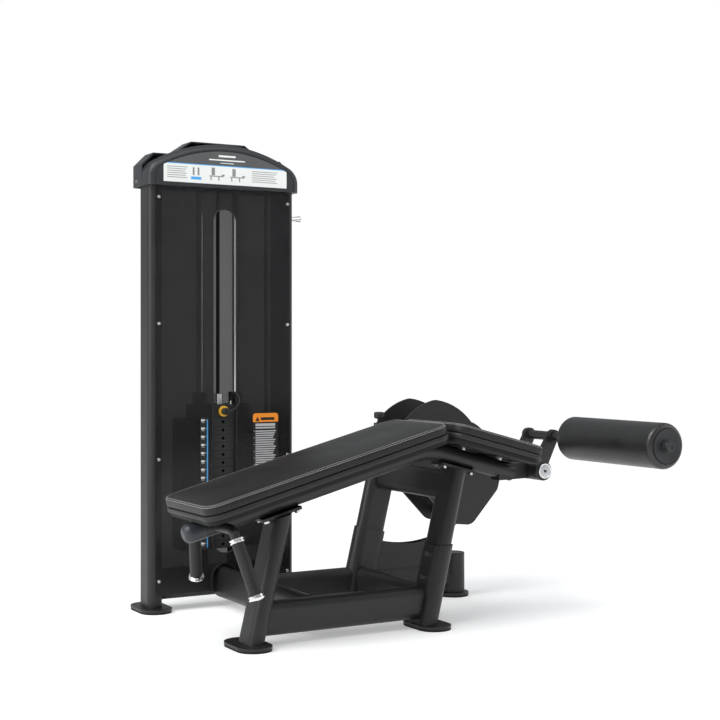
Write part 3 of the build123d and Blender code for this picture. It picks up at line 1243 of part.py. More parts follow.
def header_front_outline(shrink=0.0):
    """The edges of the header front's arched outline."""
    half = HEADER_WIDE / 2 - shrink
    base = HEADER_BOTTOM - (HEADER_BASE_DROP if shrink else 0)
    round_r = HEADER_ROUND_R - shrink
    shoulder_x = half - round_r * (1 - cos(radians(60)))
    shoulder_z = HEADER_SHOULDER + round_r * sin(radians(60)) - HEADER_ROUND_R / 2
    side_z = HEADER_SHOULDER - HEADER_ROUND_R / 2
    knee = (half - round_r * (1 - cos(radians(30))), side_z + round_r * sin(radians(30)))
    with BuildLine() as outline:
        Polyline((TOWER_X - half, side_z), (TOWER_X - half, base), (TOWER_X + half, base),
                 (TOWER_X + half, side_z))
        ThreePointArc((TOWER_X + half, side_z), (TOWER_X + knee[0], knee[1]),
                      (TOWER_X + shoulder_x, shoulder_z))
        ThreePointArc((TOWER_X + shoulder_x, shoulder_z), (TOWER_X, HEADER_TOP - shrink),
                      (TOWER_X - shoulder_x, shoulder_z))
        ThreePointArc((TOWER_X - shoulder_x, shoulder_z), (TOWER_X - knee[0], knee[1]),
                      (TOWER_X - half, side_z))
    return outline.edges()


def header_block(shrink, y, round_r):
    """The header front as a solid, smaller by shrink, with its front edge rounded."""
    with BuildPart() as block:
        with BuildSketch(side_plane(y)):
            make_face(header_front_outline(shrink))
        extrude(amount=-(HEADER_JOINT_Y - y))
        fillet(block.faces().sort_by(Axis.Y)[0].edges().sort_by(Axis.Z)[1:], radius=round_r)
    return block


with BuildPart() as header_front:
    add(header_block(0.0, HEADER_FRONT_Y, HEADER_EDGE_R).part)
    add(header_block(HEADER_WALL, HEADER_FRONT_Y + HEADER_WALL, HEADER_EDGE_R - HEADER_WALL).part,
        mode=Mode.SUBTRACT)
save(header_front, "header_front")


def header_rear_outline(shrink=0.0):
    """The edges of the header's rear: flat shoulders that ramp up to a raised middle."""
    half = HEADER_WIDE / 2 - shrink
    base = HEADER_BOTTOM - (HEADER_BASE_DROP if shrink else 0)
    shoulder = HEADER_REAR_SHOULDER - shrink
    top = HEADER_REAR_TOP - shrink
    chamfer_at = half - HEADER_REAR_CHAMFER
    right = [(half, base), (half, shoulder - HEADER_REAR_CHAMFER), (chamfer_at, shoulder),
             (REAR_RISE_OUT, shoulder), (REAR_RISE_IN, top)]
    left = [(-x, z) for x, z in reversed(right)]
    with BuildLine() as outline:
        Polyline(*[(TOWER_X + x, z) for x, z in right + left], close=True)
    return outline.edges()


with BuildPart() as header_rear:
    with BuildSketch(side_plane(HEADER_JOINT_Y)):
        make_face(header_rear_outline())
    extrude(amount=-(HEADER_REAR_Y - HEADER_JOINT_Y))
    fillet(header_rear.faces().sort_by(Axis.Y)[-1].edges().sort_by(Axis.Z)[1:], radius=HEADER_REAR_EDGE_R)
    with BuildSketch(side_plane(HEADER_JOINT_Y - 1)):
        make_face(header_rear_outline(HEADER_WALL))
    extrude(amount=-(HEADER_REAR_Y - HEADER_JOINT_Y - HEADER_WALL + 1), mode=Mode.SUBTRACT)
save(header_rear, "header_rear")

with BuildPart() as header_placard:
    with BuildSketch(side_plane(HEADER_FRONT_Y)):
        with BuildLine():
            half = HEADER_WIDE / 2 - PLACARD_MARGIN
            low = HEADER_BOTTOM + PLACARD_LOW
            side = low + PLACARD_SIDE_TALL
            Polyline((TOWER_X - half, side), (TOWER_X - half, low), (TOWER_X + half, low),
                     (TOWER_X + half, side))
            ThreePointArc((TOWER_X + half, side), (TOWER_X, HEADER_TOP - PLACARD_MARGIN_TOP),
                          (TOWER_X - half, side))
        make_face()
    extrude(amount=LABEL_THICK)
    add(weight_label.part)
    add(caution_label.part)
save(header_placard, "placards")

with BuildPart() as header_screws:
    for side in (-1, 1):
        with BuildSketch(Plane.YZ.offset(TOWER_X + side * HEADER_WIDE / 2)):
            with Locations((TOWER_Y + HEADER_SCREW_BACK, HEADER_BOTTOM + HEADER_SCREW_UP)):
                Circle(SCREW_D / 2)
        extrude(amount=side * SCREW_TALL)

with BuildPart() as accessory_peg:
    with BuildSketch(Plane.YZ.offset(POST_RIGHT_X + TUBE_WIDE / 2)):
        with Locations((TOWER_Y, PEG_Z)):
            Circle(PEG_D / 2)
    extrude(amount=PEG_LONG)
    with BuildSketch(Plane.YZ.offset(POST_RIGHT_X + TUBE_WIDE / 2 + PEG_LONG)):
        with Locations((TOWER_Y, PEG_Z)):
            Circle(PEG_END_D / 2)
    extrude(amount=PEG_END_LONG)
save(accessory_peg, "accessory_peg")

# =====================================================================  start-position pin and bolts
with BuildPart() as start_pin_block:
    with BuildSketch(FLOOR.offset(START_PIN_Z - START_BLOCK_TALL)):
        with Locations((START_PIN_X, START_PIN_Y)):
            RectangleRounded(*START_BLOCK)
            Circle(START_PIN_D / 2 + RUN_FIT, mode=Mode.SUBTRACT)
    extrude(amount=START_BLOCK_TALL)
with BuildPart() as start_pin_arm:
    with BuildSketch(side_plane(START_PIN_Y - START_ARM_THICK / 2)):
        with BuildLine():
            Polyline((START_PIN_X - START_BLOCK[0] / 2, START_PIN_Z - START_BLOCK_TALL),
                     (START_PIN_X + START_BLOCK[0] / 2, START_PIN_Z - START_BLOCK_TALL),
                     (KNEE_LEG_X + 105, FAR_LEG_TOP - 50), (KNEE_LEG_X + 65, FAR_LEG_TOP - 90),
                     close=True)
        make_face()
    extrude(amount=-START_ARM_THICK)
    add(start_pin_block.part)
save(start_pin_arm, "start_pin_bracket")

with BuildPart() as start_pin:
    with BuildSketch(FLOOR.offset(START_PIN_Z - START_BLOCK_TALL)):
        with Locations((START_PIN_X, START_PIN_Y)):
            Circle(START_PIN_D / 2)
    extrude(amount=START_BLOCK_TALL + START_STEM_LONG)

with BuildPart() as start_pin_knob:
    with BuildSketch(FLOOR.offset(START_PIN_Z + START_STEM_LONG)):
        with Locations((START_PIN_X, START_PIN_Y)):
            Circle(START_KNOB_D / 2)
    extrude(amount=START_KNOB_TALL)
    fillet(start_pin_knob.edges().filter_by(GeomType.CIRCLE), radius=START_KNOB_ROUND)
    add(start_pin.part)
save(start_pin_knob, "start_pin")

with BuildPart() as leg_bolts:
    for z in LEG_BOLT_Z:
        along = (z - FOOT_TOP) / cos(LEAN)
        surface = lean_plane(KNEE_LEG_X, 0)
        centre = surface.origin + surface.z_dir * along
        facing = Vector(-cos(LEAN), 0, sin(LEAN))
        with BuildSketch(Plane(origin=centre + facing * (TUBE_WIDE / 2 + SLEEVE_WALL), z_dir=facing)):
            RegularPolygon(HEAD_D / 2, 6)
        extrude(amount=HEAD_TALL)
    add(pad_bolts.part)
    add(saddle_bolts.part)
    add(panel_screws.part)
    add(header_screws.part)
save(leg_bolts, "bolts_and_screws")
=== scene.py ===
"""Looks, light and camera for the lying leg curl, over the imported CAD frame, in metres."""
import math

import bmesh
import bpy
from mathutils import Matrix, Vector
from mathutils.bvhtree import BVHTree


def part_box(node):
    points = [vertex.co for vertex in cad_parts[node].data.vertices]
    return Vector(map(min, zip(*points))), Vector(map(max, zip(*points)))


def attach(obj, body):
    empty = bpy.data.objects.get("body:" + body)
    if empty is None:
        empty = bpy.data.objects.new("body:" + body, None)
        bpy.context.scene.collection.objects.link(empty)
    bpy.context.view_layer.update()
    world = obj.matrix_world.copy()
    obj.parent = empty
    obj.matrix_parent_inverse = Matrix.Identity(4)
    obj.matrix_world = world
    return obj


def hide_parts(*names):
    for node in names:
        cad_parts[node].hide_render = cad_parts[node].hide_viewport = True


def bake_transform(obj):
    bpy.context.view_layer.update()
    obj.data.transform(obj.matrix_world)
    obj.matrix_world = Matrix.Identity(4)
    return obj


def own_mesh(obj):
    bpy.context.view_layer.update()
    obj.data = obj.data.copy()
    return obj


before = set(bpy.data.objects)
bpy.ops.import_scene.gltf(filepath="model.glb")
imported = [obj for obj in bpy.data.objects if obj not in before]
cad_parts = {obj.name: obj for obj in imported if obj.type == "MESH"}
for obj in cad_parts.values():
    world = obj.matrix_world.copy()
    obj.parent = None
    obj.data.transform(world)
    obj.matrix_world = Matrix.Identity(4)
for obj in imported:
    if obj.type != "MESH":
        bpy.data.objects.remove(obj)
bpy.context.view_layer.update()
scene = bpy.context.scene

# ---------------------------------------------------------------- sizes shared with the CAD
HIP = Vector((0.596, 0.0, 0.633))
TILT = math.radians(14.75)
PAD_GAP = 0.018
PAD_WIDE = 0.330
PAD_CORNER = 0.042
FOAM = 0.046
PAD_LONG = {"main_pad": 0.805, "thigh_pad": 0.336}
TOP_CUSHION = 0.030            # height of the upper cushion; the sewn band fills the rest of the foam
BEAM_HANDLE_X = -0.107
TOWER_X = 0.2065
PANEL_Y = 0.611
HEADER_Y = 0.598
HEADER_HALF = 0.2685

# ================================================================ camera and light
camera_data = bpy.data.cameras.new("camera")
camera_data.lens = 70
camera_data.sensor_width = 36
camera_data.shift_y = -13 / 720
camera_data.clip_end = 200
camera = bpy.data.objects.new("camera", camera_data)
camera.location = (-1.7034, -3.5828, 0.850)
camera.rotation_euler = (math.radians(90), 0, math.radians(-30))
scene.collection.objects.link(camera)
scene.camera = camera
scene.view_settings.view_transform = "Standard"


def aim(obj, target):
    """Turn a light so that it shines at the target."""
    obj.rotation_euler = (Vector(target) - obj.location).to_track_quat("-Z", "Y").to_euler()


def softbox(name, place, target, power, width, height):
    """A rectangular studio light."""
    data = bpy.data.lights.new(name, "AREA")
    data.shape = "RECTANGLE"
    data.size = width
    data.size_y = height
    data.energy = power
    light = bpy.data.objects.new(name, data)
    light.location = place
    scene.collection.objects.link(light)
    aim(light, target)


sun_data = bpy.data.lights.new("key", "SUN")
sun_data.energy = 1.9
sun_data.angle = math.radians(38)
sun = bpy.data.objects.new("key", sun_data)
sun.location = (-3.0, -0.6, 4.0)
scene.collection.objects.link(sun)
aim(sun, (0.3, 0.1, 0.3))
softbox("top_box", (0.2, -0.6, 2.9), (0.5, 0.2, 0.5), 22, 2.6, 1.4)
softbox("left_box", (-2.6, 0.5, 1.5), (0.3, 0.3, 0.7), 26, 1.2, 2.2)
softbox("right_box", (3.2, -1.2, 1.6), (0.9, 0.1, 0.5), 16, 1.0, 2.0)

world = bpy.data.worlds.new("studio")
scene.world = world
world.use_nodes = True
sky = world.node_tree
sky.nodes.clear()
ray = sky.nodes.new("ShaderNodeLightPath")
dim = sky.nodes.new("ShaderNodeBackground")
dim.inputs["Color"].default_value = (0.94, 0.97, 1.0, 1)
dim.inputs["Strength"].default_value = 0.42
bright = sky.nodes.new("ShaderNodeBackground")
bright.inputs["Color"].default_value = (1, 1, 1, 1)
bright.inputs["Strength"].default_value = 1.0
blend_sky = sky.nodes.new("ShaderNodeMixShader")
sky_out = sky.nodes.new("ShaderNodeOutputWorld")
sky.links.new(ray.outputs["Is Camera Ray"], blend_sky.inputs[0])
sky.links.new(dim.outputs[0], blend_sky.inputs[1])
sky.links.new(bright.outputs[0], blend_sky.inputs[2])
sky.links.new(blend_sky.outputs[0], sky_out.inputs["Surface"])


# ================================================================ materials
def finish(name, colour, rough, metal=0.0, grain=900.0, bump=0.15, deep=0.0003, kind="noise", vary=0.18,
           coat=0.0, specular=0.5, sheen=0.0, stretch=(1, 1, 1), swing=0.07, alpha=1.0):
    """A procedural material: fine grain in bump, and slow drift in colour and roughness."""
    mat = bpy.data.materials.new(name)
    mat.use_nodes = True
    tree = mat.node_tree
    shader = tree.nodes["Principled BSDF"]
    shader.inputs["Metallic"].default_value = metal
    shader.inputs["Coat Weight"].default_value = coat
    shader.inputs["Coat Roughness"].default_value = 0.25
    shader.inputs["Specular IOR Level"].default_value = specular
    shader.inputs["Sheen Weight"].default_value = sheen
    shader.inputs["Alpha"].default_value = alpha
    place = tree.nodes.new("ShaderNodeTexCoord")
    mapping = tree.nodes.new("ShaderNodeMapping")
    mapping.inputs["Scale"].default_value = stretch
    tree.links.new(place.outputs["Object"], mapping.inputs["Vector"])
    drift = tree.nodes.new("ShaderNodeTexNoise")
    drift.inputs["Scale"].default_value = 9.0
    drift.inputs["Detail"].default_value = 5.0
    tree.links.new(place.outputs["Object"], drift.inputs["Vector"])
    ramp = tree.nodes.new("ShaderNodeValToRGB")
    ramp.color_ramp.elements[0].position = 0.3
    ramp.color_ramp.elements[1].position = 0.7
    ramp.color_ramp.elements[0].color = [c * (1 - vary) for c in colour] + [1]
    ramp.color_ramp.elements[1].color = [min(1.0, c * (1 + vary)) for c in colour] + [1]
    tree.links.new(drift.outputs["Fac"], ramp.inputs["Fac"])
    tree.links.new(ramp.outputs["Color"], shader.inputs["Base Color"])
    if kind == "pebble":
        fine = tree.nodes.new("ShaderNodeTexVoronoi")
        fine.feature = "SMOOTH_F1"
        fine.inputs["Scale"].default_value = grain
        height = fine.outputs["Distance"]
    else:
        fine = tree.nodes.new("ShaderNodeTexNoise")
        fine.inputs["Scale"].default_value = grain
        fine.inputs["Detail"].default_value = 3.0
        height = fine.outputs["Fac"]
    tree.links.new(mapping.outputs["Vector"], fine.inputs["Vector"])
    relief = tree.nodes.new("ShaderNodeBump")
    relief.inputs["Strength"].default_value = bump
    relief.inputs["Distance"].default_value = deep
    relief.invert = kind == "pebble"
    tree.links.new(height, relief.inputs["Height"])
    tree.links.new(relief.outputs["Normal"], shader.inputs["Normal"])
    spread = tree.nodes.new("ShaderNodeMapRange")
    spread.inputs["From Min"].default_value = 0.25
    spread.inputs["From Max"].default_value = 0.75
    spread.inputs["To Min"].default_value = max(0.02, rough - swing)
    spread.inputs["To Max"].default_value = min(1.0, rough + swing)
    tree.links.new(drift.outputs["Fac"], spread.inputs["Value"])
    tree.links.new(spread.outputs["Result"], shader.inputs["Roughness"])
    return mat


M = {
    "powder": finish("black_powder_coat", (0.0145, 0.0145, 0.0142), 0.42, grain=1500, bump=0.35, deep=0.00025,
                     specular=0.42),
    "vinyl": finish("grained_vinyl", (0.0115, 0.0115, 0.0112), 0.47, grain=620, bump=0.55, deep=0.0006,
                    kind="pebble", specular=0.34, sheen=0.02),
    "band": finish("band_vinyl", (0.015, 0.015, 0.0146), 0.5, grain=620, bump=0.5, deep=0.0006, kind="pebble",
                   specular=0.4),
    "board": finish("wrapped_board", (0.010, 0.010, 0.010), 0.66, grain=1100, bump=0.5, deep=0.0005,
                    specular=0.3),
    "roller": finish("pebbled_foam_skin", (0.0150, 0.0150, 0.0150), 0.36, grain=240, bump=0.75, deep=0.0012,
                     kind="pebble", specular=0.55),
    "rubber": finish("foot_rubber", (0.010, 0.010, 0.010), 0.75, grain=700, bump=0.4, specular=0.3),
    "grip": finish("grip_rubber", (0.012, 0.012, 0.0125), 0.50, grain=1300, bump=0.5, deep=0.0004, specular=0.4),
    "chrome": finish("bright_chrome", (0.82, 0.82, 0.80), 0.10, metal=1.0, grain=60, bump=0.05, vary=0.06,
                     swing=0.04),
    "brushed": finish("brushed_steel", (0.50, 0.51, 0.53), 0.30, metal=1.0, grain=500, bump=0.25, vary=0.10,
                      stretch=(1, 14, 14)),
    "bolt": finish("zinc_bolt", (0.66, 0.66, 0.64), 0.24, metal=1.0, grain=380, bump=0.2, vary=0.12),
    "rod": finish("chromed_guide_rod", (0.70, 0.70, 0.69), 0.14, metal=1.0, grain=300, bump=0.08, vary=0.06,
                  stretch=(1, 1, 0.05), swing=0.04),
    "hard": finish("hard_black_plastic", (0.014, 0.0145, 0.0155), 0.46, grain=900, bump=0.3, specular=0.42),
    "bush": finish("bush_plastic", (0.03, 0.03, 0.03), 0.5, grain=900, bump=0.2),
    "iron": finish("painted_iron", (0.020, 0.020, 0.0205), 0.52, grain=420, bump=0.4, deep=0.0005, specular=0.4),
    "belt": finish("belt_rubber", (0.011, 0.011, 0.011), 0.62, grain=260, bump=0.6, deep=0.0006,
                   stretch=(1, 1, 6), specular=0.35),
    "cord": finish("braided_cord", (0.010, 0.010, 0.011), 0.55, grain=900, bump=0.7, deep=0.0005, kind="pebble"),
    "yellow": finish("yellow_pin", (0.80, 0.44, 0.02), 0.32, grain=500, bump=0.15, vary=0.10),
    "smoke": finish("smoked_panel", (0.016, 0.016, 0.017), 0.26, grain=700, bump=0.12, specular=0.30,
                    vary=0.08, alpha=0.68),
    "rear": finish("rear_smoked_panel", (0.11, 0.11, 0.112), 0.40, grain=900, bump=0.2, vary=0.05, alpha=0.70),
    "header": finish("header_plastic", (0.023, 0.0255, 0.0285), 0.40, grain=1200, bump=0.3, specular=0.42),
    "cap": finish("beam_cap_plastic", (0.021, 0.025, 0.031), 0.38, grain=900, bump=0.2, specular=0.5),
    "stitch": finish("light_thread", (0.42, 0.42, 0.41), 0.6, grain=2600, bump=0.6, vary=0.12),
    # Dark rubber trim and seams; the same black also paints the shade line in the header's joint gap.
    "trim": finish("trim_rubber_and_gap_shade", (0.007, 0.007, 0.007), 0.45, grain=900, bump=0.3, specular=0.4),
    "paper": finish("label_white", (0.80, 0.82, 0.80), 0.36, grain=500, bump=0.08, vary=0.03),
    "slate": finish("label_slate", (0.085, 0.087, 0.088), 0.40, grain=500, bump=0.08, vary=0.05),
    "ink": finish("label_ink", (0.23, 0.23, 0.23), 0.45, grain=500, bump=0.08, vary=0.15),
    "pale_ink": finish("label_pale_ink", (0.52, 0.52, 0.52), 0.45, grain=500, bump=0.08, vary=0.12),
    "blue": finish("label_blue", (0.055, 0.36, 0.76), 0.35, grain=500, bump=0.08, vary=0.05),
    "orange": finish("label_orange", (0.95, 0.30, 0.025), 0.35, grain=500, bump=0.08, vary=0.05),
    "dark": finish("label_black", (0.012, 0.012, 0.013), 0.38, grain=500, bump=0.08, vary=0.1),
}

NODE_FINISH = {
    "powder": ["base_cross_tubes", "near_rail", "far_rail", "upper_cross_tube", "head_leg", "knee_leg", "far_leg",
               "leg_sockets", "outrigger_post", "foot_plates", "bench_beam", "bench_brackets", "knee_housing",
               "handle_bars", "lever_arm_near", "lever_arm_far", "roller_axle", "cam_guard", "tower_posts",
               "tower_base_tube", "tower_top_beam", "pulley_brackets", "start_pin_bracket", "belt_cam"],
    "rubber": ["foot_rubbers", "stack_cushions", "rod_bumpers"],
    "board": ["pad_boards"],
    "bolt": ["bolts_and_screws", "pulley_axles", "selector_pin", "belt_fitting"],
    "chrome": ["accessory_peg", "knee_shaft", "selector_rod"],
    "rod": ["guide_rods"],
    "hard": ["top_pulley_centre", "top_pulley_side", "rail_pulley", "roller_core", "start_pin"],
    "bush": ["pivot_bushes"],
    "iron": ["weight_plates", "head_plate"],
    "belt": ["belt_fixed_runs"],
    "cap": ["beam_end_cap"],
    "smoke": ["front_panel"],
    "rear": ["rear_panel"],
    "header": ["header_rear", "header_front"],
}
for key, names in NODE_FINISH.items():
    for node_name in names:
        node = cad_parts[node_name]
        if not node.material_slots:
            node.data.materials.append(M[key])
        for holder in node.material_slots:
            holder.material = M[key]


# ================================================================ mesh helpers
def piece(name, verts, faces, mat, body="root", sharp=38, ride=True):
    """A mesh object in the frame's own axes that moves with a body."""
    mesh = bpy.data.meshes.new(name)
    mesh.from_pydata([tuple(v) for v in verts], [], faces)
    work = bmesh.new()
    work.from_mesh(mesh)
    bmesh.ops.recalc_face_normals(work, faces=work.faces)
    work.to_mesh(mesh)
    work.free()
    mesh.materials.append(mat)
    mesh.shade_smooth()
    mesh.set_sharp_from_angle(angle=math.radians(sharp))
    obj = bpy.data.objects.new(name, mesh)
    scene.collection.objects.link(obj)
    if ride:
        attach(obj, body)
    return obj


def lathe(name, profile, origin, axis, mat, body="root", around=72, loop=False, sharp=38):
    """A turned piece. The profile is (distance along the axis, radius); loop closes a ring's section."""
    axis = Vector(axis).normalized()
    side = axis.orthogonal().normalized()
    up = axis.cross(side)
    origin = Vector(origin)
    verts = []
    for along, radius in profile:
        for k in range(around):
            turn = 2 * math.pi * k / around
            verts.append(origin + axis * along + (side * math.cos(turn) + up * math.sin(turn)) * radius)
    faces = []
    rows = len(profile)
    for row in range(rows if loop else rows - 1):
        below = row * around
        above = (row + 1) % rows * around
        for k in range(around):
            after = (k + 1) % around
            faces.append((below + k, below + after, above + after, above + k))
    if not loop:
        faces.append(tuple(range(around)))
        faces.append(tuple(range((rows - 1) * around, rows * around)))
    return piece(name, verts, faces, mat, body, sharp)


def arc(cx, cy, radius, start, end, steps=8):
    """Points on a circle's arc, angles in degrees."""
    turns = [math.radians(start + (end - start) * k / steps) for k in range(steps + 1)]
    return [(cx + radius * math.cos(a), cy + radius * math.sin(a)) for a in turns]


def rounded(length, width, radius, steps=10):
    """A rounded rectangle's outline about its centre."""
    x = length / 2 - radius
    y = width / 2 - radius
    return (arc(x, y, radius, 0, 90, steps) + arc(-x, y, radius, 90, 180, steps)
            + arc(-x, -y, radius, 180, 270, steps) + arc(x, -y, radius, 270, 360, steps))


def decal(name, outline, y, mat, thick=0.00025):
    """A thin flat piece facing -Y, from an outline in X and Z whose back lies at y."""
    count = len(outline)
    verts = [(x, y, z) for x, z in outline] + [(x, y - thick, z) for x, z in outline]
    faces = [tuple(range(count)), tuple(range(count, 2 * count))]
    faces += [(k, (k + 1) % count, count + (k + 1) % count, count + k) for k in range(count)]
    return piece(name, verts, faces, mat, "root", 20)


def bars(name, boxes, y, mat, thick=0.0002):
    """Many small flat bars in one piece; each box is x0, x1, z0, z1."""
    verts, faces = [], []
    for x0, x1, z0, z1 in boxes:
        base = len(verts)
        corners = [(x0, z0), (x1, z0), (x1, z1), (x0, z1)]
        verts += [(x, y, z) for x, z in corners] + [(x, y - thick, z) for x, z in corners]
        faces += [(base, base + 1, base + 2, base + 3), (base + 4, base + 5, base + 6, base + 7)]
        faces += [(base + k, base + (k + 1) % 4, base + 4 + (k + 1) % 4, base + 4 + k) for k in range(4)]
    return piece(name, verts, faces, mat, "root", 20)


def wire(name, points, radius, mat, body="root", closed=True):
    """A thin round bead along a line of points."""
    data = bpy.data.curves.new(name, "CURVE")
    data.dimensions = "3D"
    data.bevel_depth = radius
    data.bevel_resolution = 3
    spline = data.splines.new("POLY")
    spline.points.add(len(points) - 1)
    for point, co in zip(spline.points, points):
        point.co = (*co, 1)
    spline.use_cyclic_u = closed
    data.materials.append(mat)
    obj = bpy.data.objects.new(name, data)
    scene.collection.objects.link(obj)
    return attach(obj, body)


# ================================================================ lanyard between the selector pin and the stack
LANYARD = [
    (0.2080, 0.5969, 0.6390),
    (0.2080, 0.5850, 0.6390),
    (0.2210, 0.5760, 0.6460),
    (0.2370, 0.5750, 0.6570),
    (0.2470, 0.5810, 0.6730),
    (0.2490, 0.5930, 0.6890),
    (0.2430, 0.6060, 0.7000),
    (0.2390, 0.6210, 0.7010),
    (0.2380, 0.6330, 0.6890),
    (0.2380, 0.6330, 0.6730),
]
line_data = bpy.data.curves.new("lanyard_line", "CURVE")
line_data.dimensions = "3D"
line_data.resolution_u = 10
lanyard_spline = line_data.splines.new("NURBS")
lanyard_spline.points.add(len(LANYARD) - 1)
for point, co in zip(lanyard_spline.points, LANYARD):
    point.co = (*co, 1)
lanyard_spline.order_u = 3
lanyard_spline.use_endpoint_u = True
line = bpy.data.objects.new("lanyard_line", line_data)
scene.collection.objects.link(line)
centre_mesh = bpy.data.meshes.new_from_object(line)
line_data.bevel_depth = 0.002
line_data.bevel_resolution = 4
line_data.use_fill_caps = True
lanyard_mesh = bpy.data.meshes.new_from_object(line)
bpy.data.objects.remove(line)
lanyard = bpy.data.objects.new("pin_lanyard_cord", lanyard_mesh)
scene.collection.objects.link(lanyard)
lanyard_mesh.materials.clear()
lanyard_mesh.materials.append(M["cord"])
lanyard_mesh.shade_smooth()
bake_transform(lanyard)
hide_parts("pin_lanyard")


# ================================================================ pads
def slope(name):
    """The matrix from a pad's own axes (along, across, up from its top) to the frame's."""
    side = -1 if name == "main_pad" else 1
    along = Vector((side * math.cos(TILT), 0, -math.sin(TILT)))
    up = Vector((side * math.sin(TILT), 0, math.cos(TILT)))
    across = up.cross(along)
    turned = Matrix((along, across, up)).transposed().to_4x4()
    return Matrix.Translation(HIP) @ turned @ Matrix.Translation((PAD_GAP + PAD_LONG[name] / 2, 0, 0))


def stack_rings(length, rows, steps=10):
    """Vertices and faces of a closed form from rounded outlines; each row is inset, height."""
    verts, faces = [], []
    count = 0
    for inset, z in rows:
        ring = rounded(length - 2 * inset, PAD_WIDE - 2 * inset, PAD_CORNER - inset, steps)
        count = len(ring)
        verts += [(x, y, z) for x, y in ring]
    for row in range(len(rows) - 1):
        for k in range(count):
            after = (k + 1) % count
            faces.append((row * count + k, row * count + after,
                          (row + 1) * count + after, (row + 1) * count + k))
    faces.append(tuple(range(count)))
    faces.append(tuple(range((len(rows) - 1) * count, len(rows) * count)))
    return verts, faces


EDGE_R = 0.0095           # rounding of a cushion's stitched top edge
START_SMALLER = 0.0012    # the pad swells in the simulation, so it starts smaller
SWELL_CAP = 0.0045        # and swells no further than this
MESH_STEP = 0.005         # size of a remeshed cushion's faces
CLOTH_STEPS = 20
STITCH_ROWS = [(0.0058, -0.0010), (0.0012, -0.0056)]
SEAM_INSET = 0.0030       # the seam lies between the two rows


def smooth(obj, factor, times=1):
    """Relax a mesh's vertices."""
    work = bmesh.new()
    work.from_mesh(obj.data)
    for _ in range(times):
        bmesh.ops.smooth_vert(work, verts=work.verts, factor=factor, use_axis_x=True, use_axis_y=True,
                              use_axis_z=True)
    work.to_mesh(obj.data)
    work.free()


def swell(obj, length, cap):
    """Inflate a remeshed cushion a little, held along its underside and its sewn top edge."""
    held = obj.vertex_groups.new(name="held")
    for v in obj.data.vertices:
        x, y, z = v.co
        near_side = min(length / 2 - abs(x), PAD_WIDE / 2 - abs(y))
        if z < -TOP_CUSHION + 0.004:
            held.add([v.index], 1.0, "REPLACE")
        elif near_side < 0.008 and z > -0.012:
            held.add([v.index], 0.75, "REPLACE")
    rest = [v.co.copy() for v in obj.data.vertices]
    cloth = obj.modifiers.new("cloth", "CLOTH")
    cloth.settings.use_pressure = True
    cloth.settings.uniform_pressure_force = 4
    cloth.settings.effector_weights.gravity = 0
    cloth.settings.vertex_group_mass = "held"
    cloth.settings.tension_stiffness = 60
    cloth.settings.compression_stiffness = 60
    cloth.settings.bending_stiffness = 6
    cloth.settings.quality = 4
    for step in range(1, CLOTH_STEPS + 1):
        scene.frame_set(step)
    swollen = obj.evaluated_get(bpy.context.evaluated_depsgraph_get())
    moved = [v.co.copy() for v in swollen.data.vertices]
    obj.modifiers.remove(cloth)
    for v, start, now in zip(obj.data.vertices, rest, moved):
        shift = now - start
        if shift.length > cap:
            shift *= cap / shift.length
        v.co = start + shift
    scene.frame_set(1)


def cushion(name, length):
    """The upper cushion of a pad: crowned, with a stitched top edge."""
    low = -TOP_CUSHION
    rows = [(0.003, low), (0.0010, low + 0.0007), (0.0, low + 0.0022)]
    rows += [(0.0, -EDGE_R)]
    rows += [(EDGE_R * (1 - math.cos(a)), -EDGE_R * (1 - math.sin(a)))
             for a in (math.radians(15 * k) for k in range(1, 7))]
    rows = [(inset + START_SMALLER, z - START_SMALLER * (z > low / 2)) for inset, z in rows]
    verts, faces = stack_rings(length, rows)
    obj = piece(name + "_cushion", verts, faces, M["vinyl"], ride=False)
    bpy.context.view_layer.objects.active = obj
    obj.select_set(True)
    obj.data.remesh_voxel_size = MESH_STEP
    bpy.ops.object.voxel_remesh()
    obj.select_set(False)
    smooth(obj, 0.5, 3)
    swell(obj, length, SWELL_CAP)
    smooth(obj, 0.4)
    obj.data.transform(slope(name))
    obj.data.shade_smooth()
    finer = obj.modifiers.new("finer", "SUBSURF")
    finer.levels = 1
    finer.render_levels = 1
    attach(obj, "root")
    return obj


def along_outline(length, inset, pitch):
    """Evenly spaced points with directions along a pad's rounded outline."""
    ring = rounded(length - 2 * inset, PAD_WIDE - 2 * inset, PAD_CORNER - inset, 24)
    spots = []
    spare = 0.0
    for a, b in zip(ring, ring[1:] + ring[:1]):
        start, end = Vector(a), Vector(b)
        run = (end - start).length
        if run < 1e-7:
            continue
        ahead = (end - start) / run
        at = spare
        while at < run:
            spots.append((start + ahead * at, ahead))
            at += pitch
        spare = at - run
    return spots


